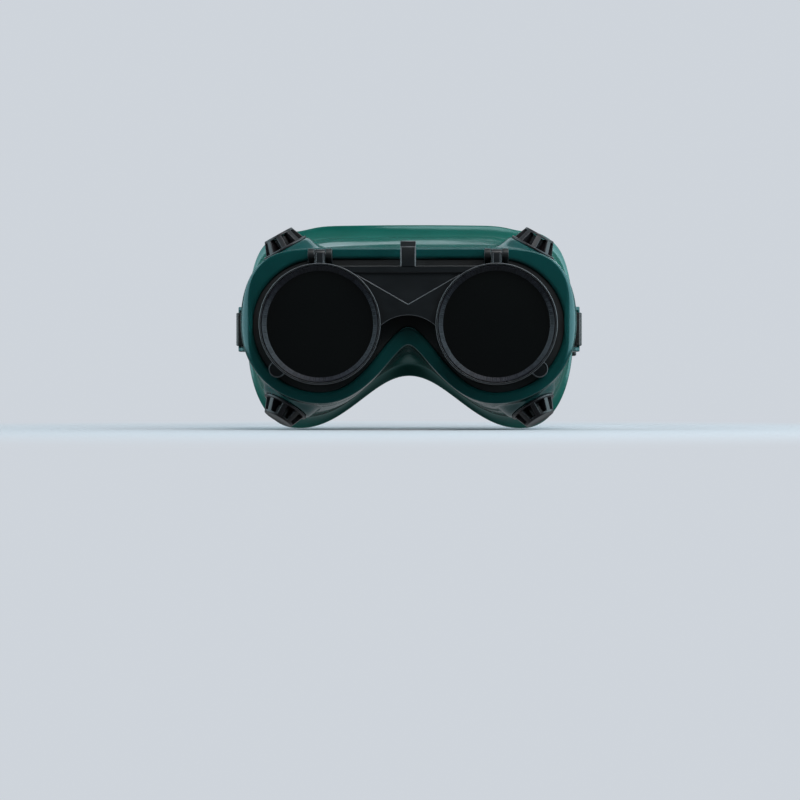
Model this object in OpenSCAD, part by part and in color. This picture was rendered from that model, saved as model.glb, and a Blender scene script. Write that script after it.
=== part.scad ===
// Welding goggles with a lift-up filter front, a soft vented mask and an elastic head strap.
//
// Axes: X across the face, Y from the front of the goggles to the back of the head, Z up.
// Origin: on the mirror plane, level with the lens centres, where the mask meets the brow.
// Left and right are the sides of the drawing seen from the front: left is -X, right is +X.

/* [Lenses] */
// Distance between the two lens centres
lens_pitch = 78.4; // [76:0.2:80]
// Diameter of each round lens
lens_d = 50; // [49:0.5:50.5]
// Thickness of each dark filter lens
filter_t = 3; // [2:0.5:3]
// Thickness of each clear lens
clear_t = 2; // [1.5:0.5:2]

/* [Mask] */
// Depth of the mask from its front face to the brow
mask_depth = 44; // [42:1:48]
// Half width of the front face
face_half_w = 75.5; // [74.5:0.1:76]
// Height of the front face above the lens centres
face_top = 34.3; // [34:0.1:35]
// Depth of the front face below the lens centres
face_bottom = 35.4; // [35:0.1:36]
// Half width of the edge that meets the face
back_half_w = 77.5; // [77:0.1:78.5]
// Height of that edge above the lens centres
back_top = 48; // [46:0.5:50]
// Depth of that edge below the lens centres
back_bottom = 47; // [46:0.5:49]
// Wall thickness of the soft mask
wall = 2; // [1.8:0.1:2.2]

/* [Lift front] */
// Outside diameter of each lens ring
ring_d = 54; // [53.8:0.1:54.4]
// Distance from the mask's face to the front of the rings
ring_proud = 10; // [10:0.1:10.4]
// Diameter of the hinge pins
pin_d = 1.6; // [1.4:0.1:1.8]

/* [Vents] */
// Diameter of each vent's flange
vent_flange_d = 21.6; // [20:0.2:22]
// Diameter of each vent's flat end
vent_top_d = 14; // [13:0.2:15]
// Height of each vent's cage above its flange
vent_cage_h = 6.3; // [5.5:0.1:6.5]
// Number of ribs round each cage
vent_ribs = 8; // [6:2:10]

/* [Head strap] */
// Width of the elastic webbing
strap_w = 15; // [14:0.5:16]
// Thickness of the elastic webbing
strap_t = 0.9; // [0.8:0.05:1]
// Distance from the brow to the back of the strap's loop
head_length = 182; // [176:1:190]
// Place of the slider along the strap, behind the brow
slider_y = 68; // [66:1:72]

/* [Hidden] */
$fn = 96;
EPS = 0.05;

LEFT = -1;
RIGHT = 1;
TOP = 1;
BOTTOM = -1;

lens_x = lens_pitch / 2;
lens_r = lens_d / 2;
ring_r = ring_d / 2;
face_y = -mask_depth;

// Opening in the mask's face: a circle round each lens, joined over the nose
opening_r = 30.3;
opening_top = 29.3;
opening_nose_z = -0.7;
face_nose_z = -9;
back_nose_z = -22.6;
back_lobe_x = 52;

// Edge that meets the face: a flange turned outwards and a soft rim turned inwards
flange_w = 3;
flange_inner_w = 3;
edge_round = 2.2;
temple_sweep = 18;
nose_relief = 13;
nose_relief_r = 15;
face_t = 2.2;

// Lens frame, seated behind the lip of the mask's face
frame_tuck = 2.1;
frame_gap = 0.25;
frame_back_y = face_y + 4.5;
rib_front_y = frame_back_y + 0.1;
rib_t = 1.2;
rib_reach = 0.6;
frame_lip_y = face_y + face_t + EPS;
frame_face_y = face_y + 1.4;
seat_r = lens_r + 0.15;
seat_outer_r = ring_r + 0.2;
seat_lip_r = 23.7;
seat_front_y = face_y + 3;
seat_back_y = face_y + 9.5;
clear_ring_inner_r = 22.8;
clear_ring_flange_t = 1.2;

// Hinge of the lift front
hinge_y = face_y - 6.5;
hinge_z = 31.2;
pin_r = pin_d / 2;
knuckle_r = 2.2;
knuckle_half_w = 2.25;
ear_r = 2.4;
ear_w = 2.75;
ear_gap = 0.3;
ear_out = knuckle_half_w + ear_gap + ear_w;

// Lift front, from its front edge backwards
lift_front_y = face_y - ring_proud;
lift_back_y = frame_face_y - 0.3;
lift_rim_r = ring_r - 0.8;
lift_rim_depth = 1.5;
filter_back_y = lift_front_y + 3 + filter_t;
gasket_t = 0.8;
ledge_y = filter_back_y + gasket_t;
ledge_t = 1.5;
bridge_y = lift_front_y + 1.8;
bridge_t = 2;
bridge_top = 25.8;
bridge_bottom_z = 3.9;
bridge_arch_r = 18;
tab_r = 3.8;
tab_reach = ring_r + 0.7;
tab_angle = 46;

// Vents: their place round the mask and along its depth, and how far each leans outwards and forwards
vent_lobe_angle = 66.5;
vent_splay = 4;
vent_level = 0.42;
vent_lean_top = 5;
vent_lean_bottom = 12;
vent_pad = 1.9;
vent_pad_r = vent_flange_d / 2 + 0.6;
vent_pad_depth = 5;
vent_hole_r = 7.5;
vent_bore_r = 6.2;
vent_window_r = 4.6;
vent_flange_t = 1.2;

// Strap lugs: a flat bar that stands off the side of the mask, with an arm above and below
strap_z = -1.5;
strap_play = 0.12;
bar_t = 1.2;
bar_front_y = face_y + 17;
bar_back_y = bar_front_y + 5;
side_wall_x = face_half_w - 0.2;
bar_x = side_wall_x + 2 * strap_play + strap_t + bar_t / 2;
arm_t = 2;
arm_gap = 0.7;
arm_root_x = side_wall_x - 2.5;
arm_spread = 7;
arm_shoulder = 1.5;

// Webbing: it turns round the bar, clears the mask's edge and runs round the head
turn_r = bar_t / 2 + strap_play + strap_t / 2;
over_edge_x = back_half_w + strap_play + strap_t / 2;
over_edge_y = [14, 20];
head_half_w = 77;
head_start_y = 42;
head_turn_y = 100;
layer_gap = 3;
free_end_y = 106;
sewn_y = [16, 38];

// Slider
slider_bar_t = 1.2;
slider_length = 10;
slider_frame_h = 2.4;
slider_play = 0.3;

// ---------------------------------------------------------------- outlines of the mask

TOP_STEPS = 6;
LOBE_STEPS = 26;
NOSE_STEPS = 12;

function bezier(a, b, c, d, t) =
    a * pow(1 - t, 3) + b * 3 * t * pow(1 - t, 2) + c * 3 * t * t * (1 - t) + d * pow(t, 3);

// An outline is [lobe centre x, lobe half width, top, bottom, nose z, pull of the lobe, pull of the nose,
// squareness]. A lobe with a squareness of 2 is an ellipse, and its corners fill out above that.
function lobe_point(o, angle) = [
    o[0] + o[1] * pow(cos(angle), 2 / o[7]),
    sign(angle) * (angle > 0 ? o[2] : o[3]) * pow(abs(sin(angle)), 2 / o[7])
];

function half_outline(o) = concat(
    [for (i = [0 : TOP_STEPS - 1]) [o[0] * i / TOP_STEPS, o[2]]],
    [for (i = [0 : LOBE_STEPS - 1]) lobe_point(o, 90 - 180 * i / LOBE_STEPS)],
    [for (i = [0 : NOSE_STEPS])
        bezier([o[0], -o[3]], [o[0] - o[5], -o[3]], [o[6], o[4]], [0, o[4]], i / NOSE_STEPS)]
);

function mirrored(half) =
    concat(half, [for (i = [len(half) - 2 : -1 : 1]) [-half[i][0], half[i][1]]]);

function outline(o) = mirrored(half_outline(o));

// Moves each point of a clockwise outline outwards by d
function grow(points, d) = [
    for (i = [0 : len(points) - 1])
        let (
            n = len(points),
            along = points[(i + 1) % n] - points[(i + n - 1) % n],
            out = [-along[1], along[0]] / norm(along)
        )
        points[i] + out * d
];

function mix(a, b, w) = [for (i = [0 : len(a) - 1]) a[i] * (1 - w) + b[i] * w];

opening_spec = [lens_x, opening_r, opening_top, opening_r, opening_nose_z, 20, 9, 2];
face_spec = [lens_x, face_half_w - lens_x, face_top, face_bottom, face_nose_z, 22, 6, 2];
back_spec = [back_lobe_x, back_half_w - back_lobe_x, back_top, back_bottom, back_nose_z, 22, 17, 2.3];

opening_line = outline(opening_spec);
face_line = outline(face_spec);
back_line = outline(back_spec);
wall_line = grow(back_line, -flange_w);

// The edge that meets the face sweeps back at the temples and is cut forwards over the nose.
function edge_y(p) =
    temple_sweep * pow(p[0] / back_half_w, 2)
    - nose_relief * exp(-(pow(p[0], 2) + pow(p[1] - back_nose_z, 2)) / pow(nose_relief_r, 2));

function level_y(p, s) = face_y + s * (mask_depth + edge_y(p));

// The wall flares slowly at first, then faster towards the face.
function flare(s) = s * s;

function flat_ring(points, y) = [for (p = points) [p[0], y, p[1]]];
function level_ring(points, s) = [for (p = points) [p[0], level_y(p, s), p[1]]];
function wall_ring(s, d) = level_ring(grow(mix(face_line, wall_line, flare(s)), d), s);

WALL_LEVELS = [0.06, 0.16, 0.28, 0.40, 0.52, 0.64, 0.76, 0.87];

mask_rings = concat(
    [flat_ring(opening_line, face_y)],
    [flat_ring(grow(face_line, -edge_round), face_y)],
    [flat_ring(grow(face_line, -edge_round * 0.3), face_y + edge_round * 0.3)],
    [flat_ring(face_line, face_y + edge_round)],
    [for (s = WALL_LEVELS) wall_ring(s, 0)],
    [level_ring(grow(back_line, -0.6), 0.95), level_ring(back_line, 0.965),
     level_ring(back_line, 0.99), level_ring(grow(back_line, -0.6), 1)],
    [level_ring(grow(wall_line, -wall - flange_inner_w), 1)],
    [level_ring(grow(wall_line, -wall - flange_inner_w), 0.96)],
    [for (i = [len(WALL_LEVELS) - 1 : -1 : 2]) wall_ring(WALL_LEVELS[i], -wall)],
    [flat_ring(grow(face_line, -wall), rib_front_y + rib_t)],
    [flat_ring(grow(opening_line, rib_reach), rib_front_y + rib_t)],
    [flat_ring(grow(opening_line, rib_reach), rib_front_y)],
    [flat_ring(grow(face_line, -wall), rib_front_y)],
    [flat_ring(grow(face_line, -wall), face_y + face_t)],
    [flat_ring(opening_line, face_y + face_t)]
);

// A closed tube through rings of equal length, joined back to its first ring
module ring_solid(rings) {
    m = len(rings);
    n = len(rings[0]);
    points = [for (r = rings) each r];
    faces = [
        for (j = [0 : m - 1], i = [0 : n - 1])
            let (
                a = j * n + i,
                b = j * n + (i + 1) % n,
                c = ((j + 1) % m) * n + (i + 1) % n,
                d = ((j + 1) % m) * n + i
            )
            each [[a, c, b], [a, d, c]]
    ];
    polyhedron(points, faces);
}

// ---------------------------------------------------------------- placing

// Turns a drawing in X and Z into a plate from y to y + t
module plate(y, t) {
    translate([0, y + t, 0])
        rotate([90, 0, 0])
            linear_extrude(t)
                children();
}

// Turns a drawing in Y and Z into a slab centred on x, with a thickness of w
module slab(x, w) {
    translate([x - w / 2, 0, 0])
        rotate([90, 0, 90])
            linear_extrude(w)
                children();
}

// A disc or tube on a lens axis, from y to y + t
module lens_disc(side, r, y, t, hole_r = 0) {
    plate(y, t)
        translate([side * lens_x, 0])
            difference() {
                circle(r);
                if (hole_r > 0)
                    circle(hole_r);
            }
}

// Moves a child drawn on Z to a vent's seat, with +Z out of the mask
module at_vent(side, up) {
    lobe = mix([lobe_point(face_spec, up * vent_lobe_angle)],
               [lobe_point(back_spec, up * vent_lobe_angle)], flare(vent_level))[0];
    half_w = face_spec[1] * (1 - flare(vent_level)) + back_spec[1] * flare(vent_level);
    half_h = abs(lobe[1]) / sin(vent_lobe_angle);
    from_up = atan2(cos(vent_lobe_angle) / half_w, sin(vent_lobe_angle) / half_h) + vent_splay;
    turn = up == TOP ? from_up : 180 - from_up;
    lean = up == TOP ? vent_lean_top : vent_lean_bottom;
    mirror([side == LEFT ? 1 : 0, 0, 0])
        translate([lobe[0], level_y(lobe, vent_level), lobe[1]])
            rotate([lean, turn, 0])
                translate([0, 0, vent_pad])
                    children();
}

// ---------------------------------------------------------------- mask

module strap_lug(side) {
    arm_z = strap_w / 2 + arm_gap;
    mirror([side == LEFT ? 1 : 0, 0, 0])
        translate([0, 0, strap_z]) {
            for (up = [TOP, BOTTOM])
                translate([0, 0, up == TOP ? arm_z : -arm_z - arm_t])
                    linear_extrude(arm_t)
                        union() {
                            polygon([
                                [arm_root_x, bar_front_y - arm_spread],
                                [bar_x - 1, bar_front_y - arm_shoulder],
                                [bar_x + bar_t / 2, bar_front_y], [bar_x + bar_t / 2, bar_back_y],
                                [arm_root_x, bar_back_y + arm_spread]
                            ]);
                            translate([bar_x, bar_front_y])
                                circle(bar_t / 2, $fn = 32);
                        }
            translate([0, 0, -arm_z - EPS])
                linear_extrude(2 * (arm_z + EPS))
                    union() {
                        translate([bar_x - bar_t / 2, bar_front_y])
                            square([bar_t, bar_back_y - bar_front_y]);
                        translate([bar_x, bar_front_y])
                            circle(bar_t / 2, $fn = 32);
                    }
        }
}

module mask_shell() {
    color([0.02, 0.30, 0.26])
        difference() {
            union() {
                ring_solid(mask_rings);
                for (side = [LEFT, RIGHT]) {
                    strap_lug(side);
                    for (up = [TOP, BOTTOM])
                        at_vent(side, up)
                            translate([0, 0, -vent_pad_depth])
                                cylinder(r = vent_pad_r, h = vent_pad_depth);
                }
            }
            for (side = [LEFT, RIGHT], up = [TOP, BOTTOM])
                at_vent(side, up) {
                    cylinder(r = vent_pad_r + EPS, h = 8);
                    translate([0, 0, -vent_pad_depth - 4])
                        cylinder(r = vent_hole_r, h = vent_pad_depth + 8);
                    translate([0, 0, -vent_pad_depth - 6])
                        cylinder(r = vent_pad_r - 1, h = 6);
                }
        }
}

// ---------------------------------------------------------------- lens frame

// Side view of one hinge ear: a round end on the hinge line, and a foot under the mask's lip
module ear_profile() {
    foot_top = opening_top * sqrt(1 - pow(ear_out / opening_r, 2)) - frame_gap;
    difference() {
        union() {
            translate([hinge_y, hinge_z])
                circle(ear_r);
            polygon([
                [hinge_y, hinge_z + ear_r], [face_y - 0.5, hinge_z + ear_r],
                [face_y - 0.5, foot_top], [frame_lip_y, foot_top], [frame_lip_y, foot_top - 1.6],
                [hinge_y + 4.5, foot_top - 1.6], [hinge_y, hinge_z - ear_r]
            ]);
        }
        translate([hinge_y, hinge_z])
            circle(pin_r + 0.01);
    }
}

module lens_frame() {
    color([0.03, 0.03, 0.035]) {
        difference() {
            union() {
                plate(frame_lip_y, frame_back_y - frame_lip_y)
                    polygon(grow(opening_line, frame_tuck));
                plate(frame_face_y, frame_lip_y - frame_face_y + EPS)
                    polygon(grow(opening_line, -frame_gap));
                for (side = [LEFT, RIGHT])
                    lens_disc(side, seat_outer_r, frame_lip_y, seat_back_y - frame_lip_y);
            }
            for (side = [LEFT, RIGHT]) {
                lens_disc(side, seat_lip_r, frame_face_y - 1, 20);
                lens_disc(side, seat_r, seat_front_y, 20);
            }
        }
        for (side = [LEFT, RIGHT], ear = [LEFT, RIGHT])
            slab(side * lens_x + ear * (ear_out - ear_w / 2), ear_w)
                ear_profile();
    }
}

module clear_lens(side) {
    color([0.85, 0.92, 0.95, 0.35])
        lens_disc(side, lens_r, seat_front_y, clear_t);
}

module clear_lens_ring(side) {
    front = seat_front_y + clear_t;
    color([0.04, 0.04, 0.045]) {
        lens_disc(side, lens_r, front, seat_back_y - front + EPS, clear_ring_inner_r);
        lens_disc(side, seat_outer_r, seat_back_y, clear_ring_flange_t, clear_ring_inner_r);
    }
}

module hinge_pin(side) {
    color([0.55, 0.55, 0.57])
        slab(side * lens_x, 2 * ear_out)
            translate([hinge_y, hinge_z])
                circle(pin_r);
}

// ---------------------------------------------------------------- vents

// A slotted cage on a round flange, with a tube that plugs into the sleeve and reaches up behind the
// slots as a screen: air passes over its end, sparks and light don't
module vent_cap(side, up) {
    cage_r = vent_top_d / 2;
    foot_r = cage_r + vent_cage_h * 0.42;
    end_t = 1.2;
    rib_w = 2.3;
    screen_t = 0.7;
    screen_gap = 1;
    color([0.05, 0.045, 0.05])
        at_vent(side, up)
            difference() {
                union() {
                    translate([0, 0, EPS])
                        cylinder(r = vent_flange_d / 2, h = vent_flange_t);
                    translate([0, 0, vent_flange_t + vent_cage_h - end_t])
                        cylinder(r1 = cage_r + end_t * 0.42, r2 = cage_r, h = end_t);
                    intersection() {
                        translate([0, 0, vent_flange_t])
                            cylinder(r1 = foot_r, r2 = cage_r, h = vent_cage_h);
                        for (i = [0 : vent_ribs / 2 - 1])
                            rotate([0, 0, i * 360 / vent_ribs])
                                translate([0, 0, vent_cage_h / 2 + vent_flange_t])
                                    cube([2 * foot_r, rib_w, vent_cage_h], center = true);
                    }
                    translate([0, 0, -4])
                        cylinder(r = vent_bore_r - 0.1, h = 4 + vent_flange_t);
                    cylinder(r = vent_window_r + screen_t,
                             h = vent_flange_t + vent_cage_h - end_t - screen_gap);
                }
                translate([0, 0, -5])
                    cylinder(r = vent_window_r, h = 5 + vent_flange_t + vent_cage_h - end_t);
            }
}

// A tube through the mask's wall, with a flange inside and a baffle that stops straight sparks
module vent_sleeve(side, up) {
    tube_l = vent_pad_depth + 2.6;
    baffle_r = 4.3;
    color([0.05, 0.045, 0.05])
        at_vent(side, up) {
            difference() {
                union() {
                    translate([0, 0, -tube_l])
                        cylinder(r = vent_hole_r - 0.1, h = tube_l);
                    translate([0, 0, -vent_pad_depth - 1.3])
                        cylinder(r = vent_pad_r - 1.4, h = 1.2);
                }
                translate([0, 0, -tube_l - 1])
                    cylinder(r = vent_bore_r, h = tube_l + 2);
            }
            translate([0, 0, -tube_l])
                cylinder(r = baffle_r, h = 1);
            for (i = [0 : 2])
                rotate([0, 0, i * 60])
                    translate([0, 0, -tube_l + 0.5])
                        cube([2 * vent_bore_r + 0.8, 1.2, 1], center = true);
        }
}

// ---------------------------------------------------------------- lift front

// Plate between the rings: a straight top and an arch over the nose
module bridge_outline() {
    difference() {
        polygon([
            [-lens_x, -2], [lens_x, -2], [lens_x, ring_r - 2], [lens_x - 8, bridge_top],
            [8 - lens_x, bridge_top], [-lens_x, ring_r - 2]
        ]);
        translate([0, bridge_bottom_z - bridge_arch_r])
            circle(bridge_arch_r);
    }
}

// Two raised lines that meet in a V on the bridge
module bridge_lines() {
    line_w = 0.7;
    foot = [0, 8.6];
    head = [24, 22.4];
    rise = head - foot;
    for (side = [LEFT, RIGHT])
        mirror([side == LEFT ? 1 : 0, 0])
            translate(foot)
                rotate(atan2(rise[1], rise[0]))
                    translate([0, -line_w / 2])
                        square([norm(rise), line_w]);
}

// Tongue on the hinge side: a thumb lever above the hinge line
module lift_tongue() {
    tongue_w = 7;
    slab(0, tongue_w)
        polygon([
            [bridge_y - 1.2, 25], [bridge_y - 1.2, face_top], [bridge_y - 0.4, face_top],
            [bridge_y - 0.4, 36.9], [hinge_y - 0.3, 36.9], [hinge_y - 0.3, 33.5],
            [bridge_y + bridge_t, 29], [bridge_y + bridge_t, 25]
        ]);
}

module hinge_knuckle(side) {
    difference() {
        slab(side * lens_x, 2 * knuckle_half_w)
            union() {
                translate([hinge_y, hinge_z])
                    circle(knuckle_r);
                translate([hinge_y - 2, ring_r - 0.8])
                    square([4, hinge_z - ring_r + 0.8]);
            }
        slab(side * lens_x, 6)
            translate([hinge_y, hinge_z])
                circle(pin_r + 0.05);
    }
}

module lift_ring(side) {
    lens_disc(side, ring_r, lift_front_y, lift_back_y - lift_front_y);
}

module lift_ring_bores(side) {
    lens_disc(side, lift_rim_r, lift_front_y - 1, lift_rim_depth + 1);
    lens_disc(side, seat_r, lift_front_y, ledge_y - lift_front_y);
    lens_disc(side, seat_lip_r, ledge_y - 1, ledge_t + 2);
    lens_disc(side, seat_r, ledge_y + ledge_t, 20);
}

module lift_tab(side) {
    plate(lift_front_y + 7, 1.6)
        translate([side * (lens_x + tab_reach * cos(tab_angle)), -tab_reach * sin(tab_angle)])
            circle(tab_r, $fn = 48);
}

module lift_frame() {
    color([0.05, 0.05, 0.055]) {
        difference() {
            union() {
                for (side = [LEFT, RIGHT]) {
                    lift_ring(side);
                    lift_tab(side);
                }
                plate(bridge_y, bridge_t)
                    bridge_outline();
                plate(bridge_y - 1.2, bridge_t + 1.6)
                    translate([-lens_x + 9, bridge_top - 3.1])
                        square([lens_pitch - 18, 3.1]);
                plate(bridge_y - 0.5, 1)
                    bridge_lines();
                lift_tongue();
            }
            for (side = [LEFT, RIGHT])
                lift_ring_bores(side);
        }
        for (side = [LEFT, RIGHT])
            hinge_knuckle(side);
    }
}

module filter_gasket(side) {
    color([0.02, 0.02, 0.02])
        lens_disc(side, lens_r - 0.1, filter_back_y, gasket_t, seat_lip_r);
}

module filter_lens(side) {
    color([0.01, 0.015, 0.012])
        lens_disc(side, lens_r, filter_back_y - filter_t, filter_t);
}

// Screw ring: a flange in the rim, a thread in the seat and a cone that faces the light
module filter_ring(side) {
    back = filter_back_y - filter_t;
    front = lift_front_y + 0.4;
    step = lift_front_y + lift_rim_depth - EPS;
    color([0.07, 0.07, 0.08])
        translate([side * lens_x, back, 0])
            rotate([90, 0, 0])
                rotate_extrude()
                    polygon([
                        [seat_lip_r, 0], [lens_r + 0.1, 0], [lens_r + 0.1, back - step],
                        [lift_rim_r - 0.7, back - step], [lift_rim_r - 0.7, back - front],
                        [lens_r + 0.2, back - front]
                    ]);
}

// ---------------------------------------------------------------- head strap

function arc(c, r, from, to, steps) =
    [for (i = [0 : steps]) let (a = from + (to - from) * i / steps) c + r * [cos(a), sin(a)]];

// Points along Y that move smoothly across X, between two places
function bend(from, to, steps) = [
    for (i = [1 : steps])
        let (t = i / steps, ease = t * t * (3 - 2 * t))
        [from[0] + (to[0] - from[0]) * ease, from[1] + (to[1] - from[1]) * t]
];

function flipped(line) = [for (p = line) [-p[0], p[1]]];
function reversed(list) = [for (i = [len(list) - 1 : -1 : 0]) list[i]];

// Inner layer on the right side, from the bar to the straight run beside the head
inner_layer = concat(
    [[bar_x - turn_r, bar_front_y + 0.1], [bar_x - turn_r, bar_back_y]],
    bend([bar_x - turn_r, bar_back_y], [over_edge_x, over_edge_y[0]], 10),
    [[over_edge_x, over_edge_y[1]]],
    bend([over_edge_x, over_edge_y[1]], [head_half_w, head_start_y], 10)
);

// Outer layer on the right side, from the bar to the free end
outer_x = over_edge_x + strap_t + 0.3;
outer_layer = concat(
    [[bar_x + turn_r, bar_front_y + 0.1], [bar_x + turn_r, bar_back_y]],
    bend([bar_x + turn_r, bar_back_y], [outer_x, over_edge_y[0]], 6),
    [[outer_x, over_edge_y[1]]],
    bend([outer_x, over_edge_y[1]], [head_half_w + layer_gap, head_start_y], 10),
    [[head_half_w + layer_gap, free_end_y]]
);

bar_turn = arc([bar_x, bar_front_y], turn_r, 0, -180, 12);

// The webbing, from its free end round the right bar, the head and the left bar
strap_line = concat(
    reversed(outer_layer), bar_turn, inner_layer,
    [for (i = [0 : 48])
        [head_half_w * cos(180 * i / 48),
         head_turn_y + (head_length - head_turn_y) * sin(180 * i / 48)]],
    flipped(reversed(inner_layer)), flipped(reversed(bar_turn)),
    [[-bar_x - turn_r, bar_front_y + 0.1], [-bar_x - turn_r, bar_back_y]]
);

// The sewn end on the left side lies against the inner layer.
sewn_start = [over_edge_x + strap_t - EPS, sewn_y[0]];
sewn_turn = [over_edge_x + strap_t - EPS, over_edge_y[1]];
sewn_line = flipped(concat(
    [[bar_x + turn_r, bar_back_y - 1]],
    bend([bar_x + turn_r, bar_back_y], sewn_start, 6),
    [sewn_turn],
    [for (p = bend([over_edge_x, over_edge_y[1]], [head_half_w, head_start_y], 10))
        if (p[1] < sewn_y[1]) p + [strap_t - EPS, 0]]
));

// One edge of a band along an open line, d to its left
function band_edge(line, d) = [
    for (i = [0 : len(line) - 1])
        let (
            along = line[min(i + 1, len(line) - 1)] - line[max(i - 1, 0)],
            out = [-along[1], along[0]] / norm(along)
        )
        line[i] + out * d
];

module band(line) {
    translate([0, 0, strap_z - strap_w / 2])
        linear_extrude(strap_w)
            polygon(concat(band_edge(line, strap_t / 2), reversed(band_edge(line, -strap_t / 2))));
}

module head_strap() {
    color([0.03, 0.03, 0.03]) {
        band(strap_line);
        band(sewn_line);
    }
}

// Three-bar slider on the two layers of the right side
module strap_slider() {
    slot_t = strap_t + 2 * slider_play;
    slider_t = layer_gap + slot_t + 2 * slider_bar_t;
    slot_h = strap_w + 2 * slider_play;
    slider_h = slot_h + 2 * slider_frame_h;
    color([0.04, 0.04, 0.045])
        translate([head_half_w + layer_gap / 2, slider_y, strap_z])
            difference() {
                cube([slider_t, slider_length, slider_h], center = true);
                for (side = [LEFT, RIGHT])
                    translate([side * layer_gap / 2, 0, 0])
                        cube([slot_t, slider_length + 1, slot_h], center = true);
            }
}

// ---------------------------------------------------------------- nodes

mask_shell();
lens_frame();
clear_lens(LEFT);  // clear_lens_left
clear_lens(RIGHT);  // clear_lens_right
clear_lens_ring(LEFT);  // clear_lens_ring_left
clear_lens_ring(RIGHT);  // clear_lens_ring_right
vent_cap(LEFT, TOP);  // vent_cap_top_left
vent_cap(RIGHT, TOP);  // vent_cap_top_right
vent_cap(LEFT, BOTTOM);  // vent_cap_bottom_left
vent_cap(RIGHT, BOTTOM);  // vent_cap_bottom_right
vent_sleeve(LEFT, TOP);  // vent_sleeve_top_left
vent_sleeve(RIGHT, TOP);  // vent_sleeve_top_right
vent_sleeve(LEFT, BOTTOM);  // vent_sleeve_bottom_left
vent_sleeve(RIGHT, BOTTOM);  // vent_sleeve_bottom_right
hinge_pin(LEFT);  // hinge_pin_left
hinge_pin(RIGHT);  // hinge_pin_right
lift_frame();
filter_gasket(LEFT);  // filter_gasket_left
filter_gasket(RIGHT);  // filter_gasket_right
filter_lens(LEFT);  // filter_lens_left
filter_lens(RIGHT);  // filter_lens_right
filter_ring(LEFT);  // filter_ring_left
filter_ring(RIGHT);  // filter_ring_right
head_strap();
strap_slider();
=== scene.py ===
from math import acos, asin, atan2, cos, degrees, pi, radians, sin, sqrt, tan

import bmesh
import bpy
import numpy as np
from mathutils import Matrix, Vector, noise
from mathutils.geometry import delaunay_2d_cdt
from mathutils.kdtree import KDTree
from numpy import array, concatenate, linspace, stack


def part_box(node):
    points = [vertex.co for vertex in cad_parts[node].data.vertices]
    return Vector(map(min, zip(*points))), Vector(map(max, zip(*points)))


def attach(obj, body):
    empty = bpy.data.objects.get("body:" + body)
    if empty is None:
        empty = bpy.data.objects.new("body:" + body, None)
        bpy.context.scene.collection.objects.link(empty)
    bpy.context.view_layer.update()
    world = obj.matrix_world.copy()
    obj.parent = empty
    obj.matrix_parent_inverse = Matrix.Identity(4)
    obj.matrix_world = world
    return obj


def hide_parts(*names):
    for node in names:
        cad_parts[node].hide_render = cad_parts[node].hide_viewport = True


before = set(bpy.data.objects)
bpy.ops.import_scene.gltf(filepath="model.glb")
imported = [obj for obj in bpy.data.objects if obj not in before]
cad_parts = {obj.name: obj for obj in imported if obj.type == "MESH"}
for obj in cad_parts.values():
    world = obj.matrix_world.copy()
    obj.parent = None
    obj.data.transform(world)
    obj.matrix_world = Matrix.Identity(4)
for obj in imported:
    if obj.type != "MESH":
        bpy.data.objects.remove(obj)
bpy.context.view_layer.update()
scene = bpy.context.scene

# ---------------- sizes, in millimetres

MM = 0.001


def cad(node):
    """Lowest and highest corner of a CAD node."""
    low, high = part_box(node)
    return array(low) / MM, array(high) / MM


lens_low, lens_high = cad("filter_lens_right")
LENS_X = (lens_low[0] + lens_high[0]) / 2
LENS_R = (lens_high[0] - lens_low[0]) / 2
FILTER_FRONT, FILTER_BACK = lens_low[1], lens_high[1]
CLEAR_FRONT, CLEAR_BACK = (corner[1] for corner in cad("clear_lens_right"))
CLEAR_RING_BACK = cad("clear_lens_ring_right")[1][1]
LEDGE_FRONT = cad("filter_gasket_right")[1][1]

mask_low, mask_high = cad("mask_shell")
FACE_Y = mask_low[1]
BACK_TOP, BACK_BOTTOM = mask_high[2], -mask_low[2]
FACE_HALF_W, FACE_TOP, FACE_BOTTOM = 75.5, 34.3, 35.4
BACK_HALF_W, BACK_LOBE_X = 77.5, 52.0
FACE_NOSE_Z, BACK_NOSE_Z = -9.0, -22.6
OPENING_R, OPENING_TOP, OPENING_NOSE_Z = 30.5, 29.3, -0.7
TEMPLE_SWEEP, NOSE_RELIEF, NOSE_RELIEF_R = 18.0, 13.0, 15.0
WALL, FACE_T, FLANGE_W = 2.0, 2.2, 3.0

lift_low, lift_high = cad("lift_frame")
FRONT_Y = lift_low[1]
TONGUE_TOP = lift_high[2]
RING_R = 27.0
pin_low, pin_high = cad("hinge_pin_right")
HINGE_Y, HINGE_Z = (pin_low[1] + pin_high[1]) / 2, (pin_low[2] + pin_high[2]) / 2
PIN_R = (pin_high[2] - pin_low[2]) / 2
EAR_OUT = (pin_high[0] - pin_low[0]) / 2

strap_low, strap_high = cad("head_strap")
STRAP_Z = (strap_low[2] + strap_high[2]) / 2
STRAP_W = strap_high[2] - strap_low[2]
STRAP_T = 0.9
HEAD_LENGTH = strap_high[1] - STRAP_T / 2

slider_low, slider_high = cad("strap_slider")
SLIDER = (slider_low + slider_high) / 2
SLIDER_SIZE = slider_high - slider_low

LEFT, RIGHT, TOP, BOTTOM = -1, 1, 1, -1
SIDE_NAME = {LEFT: "left", RIGHT: "right"}
UP_NAME = {TOP: "top", BOTTOM: "bottom"}

# ---------------- plane outlines


def smooth(t):
    t = np.clip(t, 0, 1)
    return t * t * (3 - 2 * t)


def bell(t, centre, spread):
    return np.exp(-(((t - centre) / spread) ** 2))


def arc(cx, cy, r, start, end, steps):
    """Points on a circle, angles in degrees."""
    a = np.radians(linspace(start, end, steps + 1))
    return stack([cx + r * np.cos(a), cy + r * np.sin(a)], 1)


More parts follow.
